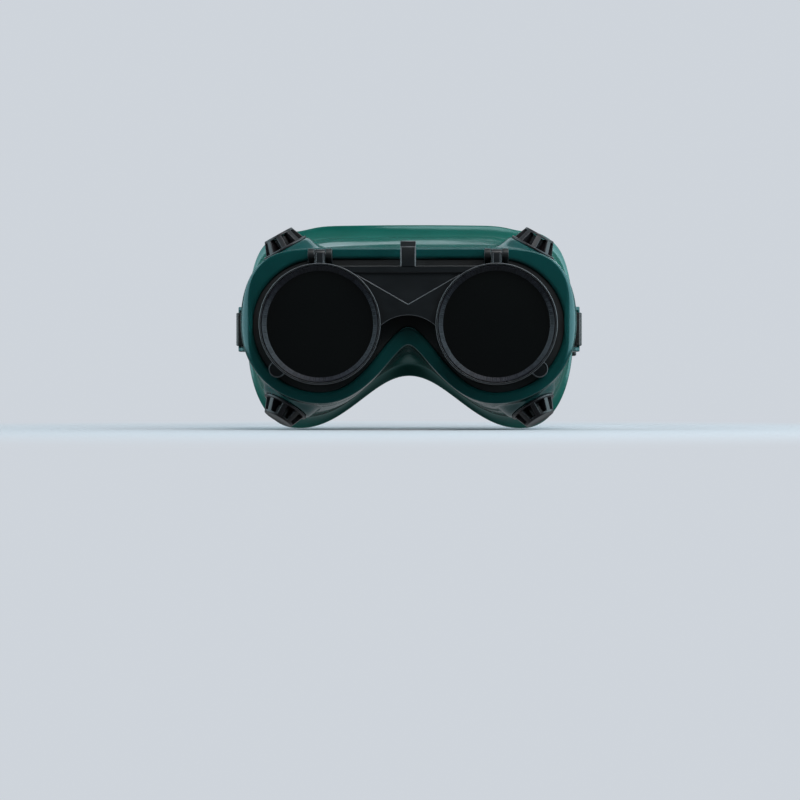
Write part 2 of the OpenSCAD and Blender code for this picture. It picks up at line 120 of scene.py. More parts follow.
def bezier(a, b, c, d, steps):
    t = linspace(0, 1, steps + 1)[:, None]
    a, b, c, d = (array(p, float) for p in (a, b, c, d))
    return a * (1 - t) ** 3 + b * 3 * t * (1 - t) ** 2 + c * 3 * t * t * (1 - t) + d * t**3


def grow(points, d):
    """Moves a closed clockwise outline out by d, one number or one a point."""
    along = np.roll(points, -1, 0) - np.roll(points, 1, 0)
    out = stack([-along[:, 1], along[:, 0]], 1)
    out /= np.linalg.norm(out, axis=1)[:, None]
    return points + out * np.broadcast_to(d, len(points))[:, None]


def clockwise(points):
    """The closed outline, running clockwise."""
    x, y = points[:, 0], points[:, 1]
    area = np.sum(x * np.roll(y, -1) - y * np.roll(x, -1))
    return points[::-1] if area > 0 else points


def filleted(corners, radii, steps=5):
    """A closed outline through corners, each rounded by its radius."""
    corners = array(corners, float)
    radii = np.broadcast_to(radii, len(corners))
    made = []
    for i, corner in enumerate(corners):
        before, after = corners[i - 1] - corner, corners[(i + 1) % len(corners)] - corner
        if radii[i] <= 0:
            made.append(corner[None])
            continue
        long_u, long_v = np.linalg.norm(before), np.linalg.norm(after)
        u, v = before / long_u, after / long_v
        half = acos(float(np.clip(u @ v, -1, 1))) / 2
        if half > pi / 2 - 0.01:
            made.append(corner[None])
            continue
        reach = min(radii[i] / tan(half), 0.48 * long_u, 0.48 * long_v)
        middle = (u + v) / np.linalg.norm(u + v)
        centre = corner + middle * reach / cos(half)
        a, b = corner + u * reach - centre, corner + v * reach - centre
        turn = atan2(a[0] * b[1] - a[1] * b[0], a @ b)
        for k in range(steps + 1):
            t = turn * k / steps
            c, s = cos(t), sin(t)
            made.append((centre + [a[0] * c - a[1] * s, a[0] * s + a[1] * c])[None])
    return concatenate(made)


def rectangle(cx, cy, w, h, r):
    x, y = w / 2, h / 2
    return filleted([(cx - x, cy - y), (cx - x, cy + y), (cx + x, cy + y), (cx + x, cy - y)], r)


def stairs(values, radii, steps=3):
    """A closed outline of level and upright sides through x0 y0, x1 y0, x1 y1, x2 y1..."""
    xs, ys = values[::2], values[1::2]
    corners = [(x, y) for k, y in enumerate(ys) for x in (xs[k], xs[(k + 1) % len(xs)])]
    return filleted(corners, radii, steps)


# ---------------- solids from rings of points
# A solid is (points, faces), its points in millimetres.

# Radius at which a turned profile ends beside the axis
CORE = 0.01
# A flat end with fewer points than this, or smaller than this in millimetres, is one face
FEW, TINY = 16, 0.1


def end_faces(ring):
    """Faces over a flat ring: one if it is small, or triangles, as it may have notches."""
    spread = np.ptp(ring, axis=0)
    flat = np.delete(ring, np.argmin(spread), axis=1)
    order = list(range(len(ring)))
    if len(ring) < FEW or spread.max() < TINY:
        return [order]
    made = delaunay_2d_cdt([Vector(p) for p in flat], [], [order], 1, 1e-6)
    source = []
    for place, found in zip(made[0], made[3]):
        nearest = int(np.argmin(np.linalg.norm(flat - array(place), axis=1)))
        source.append(found[0] if found else nearest)
    triangles = [[source[i] for i in face] for face in made[2]]
    return [face for face in triangles if len(set(face)) == 3]


def loft(rings, closed=False):
    """A skin over rings of points. closed joins the last ring to the first."""
    rings = array(rings, float)
    m, n = rings.shape[:2]
    faces = []
    around = np.arange(n)
    nxt = (around + 1) % n
    for j in range(m if closed else m - 1):
        a, b = j * n, ((j + 1) % m) * n
        faces += stack([a + around, a + nxt, b + nxt, b + around], 1).tolist()
    if not closed:
        faces += [face[::-1] for face in end_faces(rings[0])]
        faces += [[i + (m - 1) * n for i in face] for face in end_faces(rings[-1])]
    return rings.reshape(-1, 3), faces


def joined(*solids):
    points, faces, start = [], [], 0
    for p, f in solids:
        points.append(p)
        faces += [[i + start for i in face] for face in f]
        start += len(p)
    return concatenate(points), faces


def moved(solid, matrix):
    """The solid through a 4x4 matrix."""
    m = array(matrix, float)
    return solid[0] @ m[:3, :3].T + m[:3, 3], solid[1]


def flipped(solid, side):
    """The solid, mirrored where side is LEFT."""
    return moved(solid, np.diag([float(side), 1.0, 1.0, 1.0]))


def edge_steps(low, high, r, steps):
    """(height, inset) pairs over the rounded edges of a slab."""
    a = np.radians(linspace(0, 90, steps + 1))
    start = [(low + r * (1 - sin(t)), r * (1 - cos(t))) for t in a[::-1]]
    end = [(high - r * (1 - sin(t)), r * (1 - cos(t))) for t in a]
    return start + end


def flat_ring(points, axis, h):
    """An outline as points in space, at h along an axis."""
    h = np.broadcast_to(h, len(points))
    order = {"x": (h, *points.T), "y": (points[:, 0], h, points[:, 1]), "z": (*points.T, h)}
    return stack(order[axis], 1)


def slab(outline, low, high, r=0.25, steps=3, axis="y"):
    """A plate with rounded edges, its outline in the two other axes."""
    outline = clockwise(array(outline, float))
    edges = edge_steps(low, high, r, steps)
    return loft([flat_ring(grow(outline, -inset), axis, h) for h, inset in edges])


def lathe(profile, steps=192, wave=None, closed=True):
    """A profile of (radius, height) turned about Z. wave(angle, radius, height) adds to the
    radius. An open profile is capped at both ends."""
    a = linspace(0, 2 * pi, steps, endpoint=False)
    rings = []
    for r, h in array(profile, float):
        reach = r + (wave(a, r, h) if wave else 0)
        rings.append(stack([reach * np.cos(a), reach * np.sin(a), np.full(steps, h)], 1))
    return loft(rings, closed)


def turned(profile, steps=192):
    return lathe(profile, steps, closed=False)


def facing_back(x, y, z):
    """A matrix that turns +Z to the back, at a place."""
    return Matrix.Translation((x, y, z)) @ Matrix.Rotation(radians(-90), 4, "X")


def on_lens(solid, side):
    """A solid made about Z, on a lens axis with +Z to the back."""
    return moved(solid, facing_back(side * LENS_X, 0, 0))


# ---------------- objects

# Curvature of an edge, per millimetre, where the painted edge highlight starts to show and where it
# is full
HIGHLIGHT_LOW, HIGHLIGHT_HIGH = 1.2, 2.4
# Two edges at a point form one line when their directions are this opposite
ACROSS = -0.7
WELD = 2e-6


def mark_edges(made):
    """Stores 1 along tightly rounded outer edges and 0 on flat stretches: the mask for painted edge
    highlights.
    """
    rub = made.verts.layers.float.new("rub")
    for v in made.verts:
        spokes = []
        for edge in v.link_edges:
            away = (v.co - edge.other_vert(v).co) / MM
            curve = 2 * away.dot(v.normal) / max(away.length_squared, 1e-4)
            spokes.append((away.normalized(), curve))
        bend = 0.0
        for i, (u, first) in enumerate(spokes):
            for w, second in spokes[:i]:
                if u.dot(w) < ACROSS:
                    bend = max(bend, min(first, second))
        v[rub] = min(max((bend - HIGHLIGHT_LOW) / (HIGHLIGHT_HIGH - HIGHLIGHT_LOW), 0.0), 1.0)


def new_mesh(name, solid, shown=True):
    """A mesh from a solid. A shown one is welded and its edges are marked."""
    mesh = bpy.data.meshes.new(name)
    mesh.from_pydata((solid[0] * MM).tolist(), [], solid[1])
    made = bmesh.new()
    made.from_mesh(mesh)
    if shown:
        bmesh.ops.remove_doubles(made, verts=made.verts, dist=WELD)
    bmesh.ops.recalc_face_normals(made, faces=made.faces)
    if shown:
        made.normal_update()
        mark_edges(made)
    made.to_mesh(mesh)
    made.free()
    return mesh


def new_object(name, data):
    obj = bpy.data.objects.new(name, data)
    scene.collection.objects.link(obj)
    return obj


def piece(name, solid, material, body, replaces, shade_angle=40):
    """A shown piece of the goggles, painted and riding on its CAD body."""
    mesh = new_mesh(name, solid)
    mesh.materials.append(material)
    mesh.polygons.foreach_set("use_smooth", [True] * len(mesh.polygons))
    mesh.set_sharp_from_angle(angle=radians(shade_angle))
    obj = new_object(name, mesh)
    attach(obj, body)
    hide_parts(*replaces)
    return obj


# ---------------- materials


class Nodes:
    """A node tree whose nodes are added one by one."""

    def __init__(self, tree):
        self.tree = tree

    def wire(self, value, socket):
        if isinstance(value, bpy.types.NodeSocket):
            self.tree.links.new(value, socket)
        elif isinstance(value, tuple) and len(value) == 3 and socket.type == "RGBA":
            socket.default_value = (*value, 1)
        else:
            socket.default_value = value

    def add(self, kind, inputs=(), **settings):
        node = self.tree.nodes.new("ShaderNode" + kind)
        for key, value in settings.items():
            setattr(node, key, value)
        for key, value in dict(inputs).items():
            self.wire(value, node.inputs[key])
        return node

    def ramp(self, value, low, high, out_low=0.0, out_high=1.0, **settings):
        inputs = {"Value": value, "From Min": low, "From Max": high}
        inputs.update({"To Min": out_low, "To Max": out_high})
        return self.add("MapRange", inputs, **settings).outputs["Result"]

    def math(self, operation, a, b=0.0):
        return self.add("Math", {0: a, 1: b}, operation=operation).outputs[0]


class Paint(Nodes):
    """A material and what it is mixed from."""

    def __init__(self, name, **sockets):
        self.material = bpy.data.materials.new(name)
        self.material.use_nodes = True
        super().__init__(self.material.node_tree)
        self.shader = self.tree.nodes["Principled BSDF"]
        self.set(**sockets)

    def set(self, **sockets):
        for key, value in sockets.items():
            self.wire(value, self.shader.inputs[key.replace("_", " ")])

    def place(self):
        return self.add("TexCoord").outputs["Object"]

    def stretched(self, *scale):
        return self.add("Mapping", {"Vector": self.place(), "Scale": scale}).outputs["Vector"]

    def noise(self, scale, detail=3.0, rough=0.55, vector=None):
        vector = self.place() if vector is None else vector
        inputs = {"Vector": vector, "Scale": scale, "Detail": detail, "Roughness": rough}
        return self.add("TexNoise", inputs).outputs["Fac"]

    def blend(self, factor, a, b):
        node = self.add("Mix", {0: factor}, data_type="RGBA")
        self.wire(a, node.inputs[6])
        self.wire(b, node.inputs[7])
        return node.outputs[2]

    def field(self, name, output="Fac"):
        return self.add("Attribute", attribute_name=name).outputs[output]

    def done(self, colour, roughness, *layers):
        """The material. layers of bump are (height, distance in metres, strength)."""
        self.set(Base_Color=colour, Roughness=roughness)
        normal = None
        for height, distance, strength in layers:
            inputs = {"Height": height, "Distance": distance, "Strength": strength}
            if normal is not None:
                inputs["Normal"] = normal
            normal = self.add("Bump", inputs).outputs["Normal"]
            self.set(Normal=normal)
        return self.material


def vinyl():
    """Soft vinyl, dark teal in front and greener towards its rear edge."""
    p = Paint("vinyl_green", Subsurface_Weight=0.08, Subsurface_Scale=0.003, IOR=1.5,
              Subsurface_Radius=(0.25, 1.0, 0.75), Specular_Tint=(0.60, 0.95, 1.0))
    cloud = p.ramp(p.noise(38, 4), 0.35, 0.65)
    teal = p.blend(cloud, (0.0040, 0.048, 0.047), (0.0052, 0.060, 0.058))
    green = p.blend(cloud, (0.003, 0.082, 0.062), (0.004, 0.100, 0.076))
    colour = p.blend(p.field("rear"), teal, green)
    rough = p.ramp(p.noise(55, 4, 0.6, p.stretched(1.0, 2.6, 1.0)), 0.3, 0.7, 0.13, 0.24)
    soft, grain = p.noise(150, 2), p.noise(1400, 3)
    return p.done(colour, rough, (soft, 0.0006, 0.10), (grain, 0.00005, 0.2))


def moulded(name, dark, light, rough, grain=1500, edge=(0.10, 0.10, 0.11)):
    """Moulded plastic with flow marks, a fine grain and painted highlights along its rounded edges,
    broken up by noise.
    """
    p = Paint(name)
    flow = p.ramp(p.noise(70, 5, 0.6, p.stretched(1.0, 0.5, 1.8)), 0.35, 0.7)
    body = p.blend(flow, dark, light)
    # Painted highlight: the edge colour, laid where the edge mask is high, stands in for light
    # caught by rounded edges
    glint = p.math("MULTIPLY", p.field("rub"), p.ramp(p.noise(260, 4), 0.3, 0.6, 0.6, 1.0))
    colour, haze = p.blend(glint, body, edge), p.ramp(p.noise(120, 5, 0.7), 0.3, 0.75, *rough)
    scratch = p.noise(900, 2, 0.5, p.stretched(1.0, 1.0, 9.0))
    grains, scratches = p.noise(grain, 3), p.ramp(scratch, 0.60, 0.72)
    return p.done(colour, haze, (grains, 0.00005, 0.30), (scratches, 0.00002, 0.20))


def dark_glass():
    """Welding filter glass: almost black, polished, a little dusty and wiped."""
    p = Paint("filter_glass", IOR=1.52)
    tint = p.ramp(p.noise(30, 2), 0.3, 0.7)
    specks = p.ramp(p.noise(2600, 1, 0.4), 0.80, 0.86)
    body = p.blend(tint, (0.0022, 0.0027, 0.0029), (0.0030, 0.0037, 0.0037))
    colour = p.blend(p.math("MULTIPLY", specks, 0.25), body, (0.12, 0.12, 0.12))
    wiped = p.noise(90, 3, 0.6, p.stretched(1.0, 1.0, 5.0))
    return p.done(colour, p.ramp(wiped, 0.35, 0.75, 0.03, 0.08))


def clear_glass():
    p = Paint("cover_glass", IOR=1.5, Transmission_Weight=1.0, Specular_IOR_Level=0.5)
    dust = p.ramp(p.noise(700, 3, 0.6), 0.45, 0.8)
    colour = p.blend(dust, (0.95, 0.98, 0.97), (0.90, 0.95, 0.94))
    return p.done(colour, p.ramp(p.noise(60, 3), 0.3, 0.7, 0.01, 0.03))


def rubber():
    p = Paint("gasket_rubber", IOR=1.5)
    cloud = p.ramp(p.noise(300, 4), 0.3, 0.7)
    colour = p.blend(cloud, (0.012, 0.012, 0.012), (0.022, 0.021, 0.021))
    rough = p.ramp(p.noise(200, 3), 0.3, 0.7, 0.62, 0.78)
    return p.done(colour, rough, (p.noise(2200, 3), 0.00008, 0.4))


def steel():
    p = Paint("pin_steel", Metallic=1.0)
    drawn = p.noise(2400, 4, 0.6, p.stretched(0.04, 1.0, 1.0))
    colour = p.blend(p.ramp(drawn, 0.35, 0.65), (0.16, 0.16, 0.17), (0.24, 0.24, 0.25))
    return p.done(colour, p.ramp(drawn, 0.3, 0.7, 0.35, 0.5), (drawn, 0.00003, 0.3))


def webbing():
    """Knitted elastic: cords along the band and a fine weft across them."""
    weft_pitch, cord_pitch, lean_by = 0.0011, 0.00214, 1.6
    p = Paint("elastic_webbing", Sheen_Weight=0.35, Sheen_Roughness=0.5)
    along, across, _ = p.add("SeparateXYZ", {"Vector": p.field("weave", "Vector")}).outputs
    weft = p.math("SINE", p.math("MULTIPLY", along, 2 * pi / weft_pitch))
    lean = p.math("SINE", p.math("MULTIPLY", across, 2 * pi / cord_pitch))
    row = p.math("MULTIPLY", along, pi / weft_pitch)
    stitch = p.math("SINE", p.math("ADD", row, p.math("MULTIPLY", lean, lean_by)))
    knit = p.ramp(p.math("ADD", weft, stitch), -1.6, 1.6)
    fuzz = p.noise(1800, 4, 0.65)
    dark = p.blend(fuzz, (0.010, 0.010, 0.011), (0.020, 0.020, 0.021))
    pale = p.blend(fuzz, (0.030, 0.030, 0.032), (0.050, 0.049, 0.051))
    colour, rough = p.blend(knit, dark, pale), p.ramp(fuzz, 0.3, 0.7, 0.78, 0.92)
    return p.done(colour, rough, (knit, 0.00018, 0.55), (fuzz, 0.00008, 0.35))


def thread():
    p = Paint("stitch_thread", Sheen_Weight=0.2)
    twist = p.ramp(p.noise(2500, 2), 0.4, 0.6)
    colour = p.blend(twist, (0.035, 0.035, 0.038), (0.075, 0.075, 0.08))
    return p.done(colour, p.ramp(twist, 0, 1, 0.6, 0.75), (twist, 0.00005, 0.5))


VINYL = vinyl()
# The last colour of each moulded plastic is its painted edge highlight
LIFT_BLACK = moulded("lift_plastic", (0.0075, 0.0085, 0.0100), (0.0115, 0.0130, 0.0150),
                     (0.30, 0.42), edge=(0.13, 0.13, 0.14))
FRAME_BLACK = moulded("frame_plastic", (0.0055, 0.0060, 0.0066), (0.0075, 0.0080, 0.0088),
                      (0.45, 0.60), edge=(0.06, 0.06, 0.065))
RING_GREY = moulded("ring_plastic", (0.009, 0.009, 0.013), (0.013, 0.013, 0.018),
                    (0.26, 0.36), edge=(0.06, 0.06, 0.075))
VENT_BLACK = moulded("vent_plastic", (0.008, 0.0065, 0.008), (0.014, 0.011, 0.0135),
                     (0.36, 0.50), 900, (0.030, 0.024, 0.029))
SLIDER_BLACK = moulded("slider_plastic", (0.010, 0.010, 0.011), (0.016, 0.016, 0.017),
                       (0.38, 0.52))
DARK_GLASS, CLEAR_GLASS = dark_glass(), clear_glass()
RUBBER, STEEL, WEBBING, THREAD = rubber(), steel(), webbing(), thread()

# ---------------- mask

TOP_STEPS, LOBE_STEPS, NOSE_STEPS = 30, 116, 64


def lobe(spec, angle):
    """A point on an outline's lobe: an ellipse at squareness 2, fuller above that."""
    centre, half_w, top, bottom, _, _, _, square = spec
    c, s = np.cos(np.radians(angle)), np.sin(np.radians(angle))
    height = np.where(s > 0, top, bottom)
    x = centre + half_w * np.abs(c) ** (2 / square)
    return stack([x, np.sign(s) * height * np.abs(s) ** (2 / square)], -1)


def outline(spec):
    """A straight brow, a lobe at each side and a curve over the nose."""
    centre, _, top, bottom, nose_z, pull_lobe, pull_nose, _ = spec
    over = stack([linspace(0, centre, TOP_STEPS + 1)[:-1], np.full(TOP_STEPS, top)], 1)
    side = lobe(spec, linspace(90, -90, LOBE_STEPS + 1)[:-1])
    low, nose = (centre, -bottom), (0, nose_z)
    under = bezier(low, (centre - pull_lobe, -bottom), (pull_nose, nose_z), nose, NOSE_STEPS)
    half = concatenate([over, side, under])
    return concatenate([half, half[-2:0:-1] * [-1, 1]])


def lens_angle(points):
    """Each point's angle round its lens in degrees, 0 being out sideways."""
    return np.degrees(np.arctan2(points[:, 1], np.abs(points[:, 0]) - LENS_X))


def filled(points, at, fills, share=1.0):
    """An outline moved out by bells of (height, centre, spread) along at."""
    return grow(points, share * sum(d * bell(at, centre, spread) for d, centre, spread in fills))


# Lobe centre and half width, top, bottom, nose z, pull of the lobe and of the nose, squareness
OPENING_SPEC = (LENS_X, OPENING_R, OPENING_TOP, OPENING_R - 0.2, OPENING_NOSE_Z, 20, 9, 2)
FACE_SPEC = (LENS_X, FACE_HALF_W - LENS_X, FACE_TOP, FACE_BOTTOM, FACE_NOSE_Z, 22, 6, 2)
BACK_SPEC = (
    BACK_LOBE_X, BACK_HALF_W - BACK_LOBE_X, BACK_TOP, BACK_BOTTOM, BACK_NOSE_Z, 22, 17, 2.3
)
# The face's upper corners are fuller, by angle round the lens. The upper rear edge is fuller at
# the temples and lower beside the brow, by distance from the middle, from REAR_FADE upwards.
FACE_FILLS = ((2.1, 36, 22), (2.0, 54, 20))
REAR_FILLS, REAR_FADE = ((1.0, 71, 5), (-2.2, 54, 9)), 10
# The face's edge radius, and how much rounder it is at the sides
EDGE_R, SIDE_ROUNDING = 0.8, (5.1, 2, 26)

OPENING_LINE, FACE_LINE, BACK_LINE = outline(OPENING_SPEC), outline(FACE_SPEC), outline(BACK_SPEC)
FACE_LINE = filled(FACE_LINE, lens_angle(FACE_LINE), FACE_FILLS)
upper = smooth(BACK_LINE[:, 1] / REAR_FADE)
BACK_LINE = filled(BACK_LINE, np.abs(BACK_LINE[:, 0]), REAR_FILLS, upper)
WALL_LINE = grow(BACK_LINE, -FLANGE_W)


def edge_y(p):
    """Where the rear edge lies: back at the temples, forwards over the nose."""
    x, z = p[..., 0], p[..., 1]
    nose = np.exp(-(x**2 + (z - BACK_NOSE_Z) ** 2) / NOSE_RELIEF_R**2)
    return TEMPLE_SWEEP * (x / BACK_HALF_W) ** 2 - NOSE_RELIEF * nose


def level_y(p, s):
    return FACE_Y + s * (edge_y(p) - FACE_Y)


def level(p, s):
    return flat_ring(p, "y", level_y(p, s))


def wall_line(s):
    """The wall's outline at a share s of its depth. It flares towards the head."""
    w = np.reshape(s * s, (-1, 1))
    return FACE_LINE * (1 - w) + WALL_LINE * w


def wall_ring(s, d=0.0):
    """The wall at a share s of its depth, d outside its outer face."""
    return level(grow(wall_line(s), d), s)


VENT_ANGLE, VENT_LEVEL, VENT_SPLAY, VENT_PAD = 66.5, 0.42, 4.0, 1.9
VENT_LEAN = {TOP: 5.0, BOTTOM: 12.0}
VENTS = [(side, up) for side in (LEFT, RIGHT) for up in (TOP, BOTTOM)]


def vent_place(side, up):
    """A vent's matrix, with +Z out of the mask and z = 0 on its seat."""
    w = VENT_LEVEL**2
    at = lobe(FACE_SPEC, up * VENT_ANGLE) * (1 - w) + lobe(BACK_SPEC, up * VENT_ANGLE) * w
    half_w = FACE_SPEC[1] * (1 - w) + BACK_SPEC[1] * w
    a = radians(VENT_ANGLE)
    half_h = abs(at[1]) / sin(a)
    from_up = degrees(atan2(cos(a) / half_w, sin(a) / half_h)) + VENT_SPLAY
    turn = from_up if up == TOP else 180 - from_up
    return (
        Matrix.Diagonal((side, 1, 1, 1))
        @ Matrix.Translation((at[0], level_y(at, VENT_LEVEL), at[1]))
        @ Matrix.Rotation(radians(turn), 4, "Y")
        @ Matrix.Rotation(radians(VENT_LEAN[up]), 4, "X")
        @ Matrix.Translation((0, 0, VENT_PAD))
    )


# Height, radius of the flat and radius where its slope ends, outside and inside the wall, and
# how far from a vent's plane its seat reaches
SEAT_OUTSIDE, SEAT_INSIDE, SEAT_REACH = (0.0, 10.9, 14.8), (-5.05, 11.0, 13.4), 16


def flatten_seats(rings, height, full_r, end_r):
    """Rings of wall, brought to a flat round seat with a soft slope under each vent."""
    points = concatenate(rings)
    for side, up in VENTS:
        matrix = array(vent_place(side, up))
        inverse = np.linalg.inv(matrix)
        local = points @ inverse[:3, :3].T + inverse[:3, 3]
        r = np.hypot(local[:, 0], local[:, 1])
        near = np.abs(local[:, 2]) < SEAT_REACH
        w = smooth((end_r - r) / (end_r - full_r)) * near
        local[:, 2] += w * (height - local[:, 2])
        points = local @ matrix[:3, :3].T + matrix[:3, 3]
    return list(points.reshape(-1, len(FACE_LINE), 3))


# Height of the wall's unevenness, length of its waves along each axis, and their start
WAVE_H, WAVE_SIZE, WAVE_START = 0.6, array([42.0, 8.0, 26.0]), Vector((0, 3.1, 0))


def uneven(ring):
    """A soft unevenness in Z, in waves that run along X."""
    lift = [noise.noise(Vector(q / WAVE_SIZE) + WAVE_START) for q in ring]
    return ring + WAVE_H * stack([np.zeros(len(ring)), np.zeros(len(ring)), lift], 1)


def mask_rings():
    """Rings from the opening's lip over face and outer wall to the head, and back inside."""
    lip_r, outer_end = 1.7, 0.87
    edge_r = EDGE_R + SIDE_ROUNDING[0] * bell(lens_angle(FACE_LINE), *SIDE_ROUNDING[1:])
    quarter = [(1 - cos(t), 1 - sin(t)) for t in np.radians(linspace(0, 90, 7))]

    def flat(line, y):
        return flat_ring(line, "y", y)

    rings = [flat(grow(OPENING_LINE, lip_r * c), FACE_Y + lip_r * s) for c, s in quarter]
    lip, rim = grow(OPENING_LINE, lip_r), grow(FACE_LINE, -edge_r)
    rings += [flat(lip * (1 - t) + rim * t, FACE_Y) for t in (0.12, 0.35, 0.6, 0.85, 0.97)]
    rings += [flat(grow(FACE_LINE, -edge_r * s), FACE_Y + edge_r * c) for c, s in quarter]
    start = edge_r / (edge_y(FACE_LINE) - FACE_Y)
    outer = [wall_ring(start + (outer_end - start) * t) for t in linspace(0, 1, 48)[1:]]
    rings += flatten_seats([uneven(ring) for ring in outer], *SEAT_OUTSIDE)

    # The flange: out to its brim, over the rear edge and in to the wall
    brim = grow(BACK_LINE, -0.7)
    for w, s in ((0.10, 0.895), (0.28, 0.918), (0.55, 0.937), (0.82, 0.949), (1.0, 0.955)):
        rings.append(level(wall_line(s) * (1 - w) + brim * w, s))
    over = ((-0.25, 0.959), (-0.05, 0.966), (0, 0.975), (0, 0.985), (-0.2, 0.994), (-0.6, 1.0))
    back = ((0, 1.0), (-1.5, 0.999), (-3.0, 0.999), (-4.5, 1.0), (-4.9, 0.995), (-5.0, 0.985),
            (-4.8, 0.972), (-4.0, 0.957))
    rings += [level(grow(BACK_LINE, d), s) for d, s in over]
    rings += [level(grow(WALL_LINE, d), s) for d, s in back]
    inner = [wall_ring(s, -WALL) for s in linspace(0.90, 0.16, 30)]
    rings += flatten_seats(inner, *SEAT_INSIDE)

    # A rib that holds the lens frame from behind, and the back of the face
    rib_front, rib_back, rib_reach = FACE_Y + 4.6, FACE_Y + 5.8, 0.6
    held, lip_back = grow(FACE_LINE, -WALL), FACE_Y + FACE_T
    rib_line = grow(OPENING_LINE, rib_reach)
    inside = (
        (held, rib_back + 0.4), (grow(FACE_LINE, -WALL - 0.4), rib_back),
        (grow(OPENING_LINE, rib_reach + 0.4), rib_back), (rib_line, rib_back - 0.3),
        (rib_line, rib_front), (held, rib_front), (held, lip_back),
        (grow(OPENING_LINE, 0.3), lip_back), (OPENING_LINE, lip_back - 0.2),
    )
    return rings + [flat(line, y) for line, y in inside]


def cut(obj, solid):
    """Takes a solid out of an object's mesh."""
    cutter = new_object("cutter", new_mesh("cutter", solid, shown=False))
    boolean = obj.modifiers.new("cut", "BOOLEAN")
    boolean.operation, boolean.solver, boolean.object = "DIFFERENCE", "EXACT", cutter
    bpy.context.view_layer.update()
    result = obj.evaluated_get(bpy.context.evaluated_depsgraph_get())
    cut_mesh = bpy.data.meshes.new_from_object(result)
    obj.modifiers.remove(boolean)
    obj.data = cut_mesh
    bpy.data.objects.remove(cutter)


def vent_holes():
    low, high, hole_r = -9, 4, 7.5
    hole = turned(stairs((CORE, low, hole_r, high), 0), 96)
    return joined(*(moved(hole, vent_place(*v)) for v in VENTS))


# Share of the mask's depth where the green starts, and the stretch it grows over
GREEN_START, GREEN_GROWS = 0.3, 0.65


def mark_rear(obj):
    """Stores how near each point is to the rear edge, for the colour."""
    co = np.zeros(len(obj.data.vertices) * 3)
    obj.data.vertices.foreach_get("co", co)
    co = co.reshape(-1, 3) / MM
    s = (co[:, 1] - FACE_Y) / (edge_y(co[:, [0, 2]]) - FACE_Y)
    field = obj.data.attributes.new("rear", "FLOAT", "POINT")
    green = smooth((s - GREEN_START) / GREEN_GROWS)
    field.data.foreach_set("value", green.astype(np.float32))


mask = loft(mask_rings(), closed=True)
mask_body = piece("mask_body", mask, VINYL, "mask", ["mask_shell"], 50)
cut(mask_body, vent_holes())
mark_rear(mask_body)

# ---------------- strap lugs

LUG_BAR_T, LUG_FRONT, LUG_LENGTH = 1.2, FACE_Y + 17, 5.0
LUG_BACK = LUG_FRONT + LUG_LENGTH
SIDE_WALL_X = FACE_HALF_W - 0.2
STRAP_PLAY = 0.12
LUG_X = SIDE_WALL_X + 2 * STRAP_PLAY + STRAP_T + LUG_BAR_T / 2


def strap_lug():
    """A bar that stands off the mask's right side, on two arms."""
    arm_t, arm_gap, root_x, bedded = 2.0, 0.7, SIDE_WALL_X - 2.0, 0.6
    arm_z = STRAP_W / 2 + arm_gap
    outer = LUG_X + LUG_BAR_T / 2
    arm = filleted([
        (root_x, LUG_FRONT - 7), (LUG_X - 1.2, LUG_FRONT - 1.6), (outer, LUG_FRONT - 0.4),
        (outer, LUG_BACK), (root_x, LUG_BACK + 7),
    ], [0, 2.5, 0.9, 2.0, 0], 6)
    solids = []
    for low in (STRAP_Z + arm_z, STRAP_Z - arm_z - arm_t):
        solids.append(slab(arm, low, low + arm_t, 0.5, 4, "z"))
    bar_y = LUG_FRONT + LUG_LENGTH / 2 - 0.35
    bar = rectangle(LUG_X, bar_y, LUG_BAR_T, LUG_LENGTH + 0.7, 0.75)
    low, high = STRAP_Z - arm_z - bedded, STRAP_Z + arm_z + bedded
    solids.append(slab(bar, low, high, 0.1, 2, "z"))
    return joined(*solids)


for side, side_name in SIDE_NAME.items():
    lug = flipped(strap_lug(), side)
    mark_rear(piece(f"strap_lug_{side_name}", lug, VINYL, "mask", ["mask_shell"]))

# ---------------- vents

CAP_R, CAP_FLANGE_T, CAGE_H, CAGE_TOP_R, CAGE_SLOPE = 10.8, 1.25, 6.3, 7.0, 0.42
VENT_RIBS, RIB_W, END_T, WINDOW_R, BORE_R = 8, 2.5, 1.2, 4.6, 6.2


def round_axis(solid, angle):
    return moved(solid, Matrix.Rotation(angle, 4, "Z"))


def vent_cap():
    """A slotted cage on a flange, with a tube that plugs into the sleeve."""
    tube_low, tube_r, flange_low, dish = -4, BORE_R - 0.1, 0.05, 0.15
    top = CAP_FLANGE_T + CAGE_H
    flange = stairs(
        (WINDOW_R, tube_low, tube_r, flange_low, CAP_R, CAP_FLANGE_T),
        [0.2, 0.3, 0.1, 0.45, 0.5, 0.15], 4,
    )
    disc_low = top - END_T
    disc_r, dish_r = CAGE_TOP_R + END_T * CAGE_SLOPE, CAGE_TOP_R - 1.2
    disc = [(CORE, disc_low), (disc_r, disc_low), (CAGE_TOP_R, top), (CORE, top)]
    disc = filleted(disc, [0, 0.3, 0.35, 0], 4)
    dished = [*disc[:-1], (dish_r, top), (dish_r - 0.25, top - dish), (CORE, top - dish)]
    screen = stairs((WINDOW_R, 0, WINDOW_R + 0.7, disc_low - 0.2), [0.1, 0.1, 0.2, 0.2])
    solids = [lathe(flange, 96), lathe(screen, 96), turned(dished, 96)]

    foot_r, rib_in = CAGE_TOP_R + CAGE_H * CAGE_SLOPE, WINDOW_R + 0.4
    rings = []
    for h in linspace(CAP_FLANGE_T - 0.2, disc_low + 0.3, 6):
        outer = foot_r - (h - CAP_FLANGE_T) * CAGE_SLOPE - 0.05
        rib = rectangle((outer + rib_in) / 2, 0, outer - rib_in, RIB_W, 0.35)
        rings.append(flat_ring(rib, "z", h))
    solids += [round_axis(loft(rings), 2 * pi * i / VENT_RIBS) for i in range(VENT_RIBS)]
    return joined(*solids)


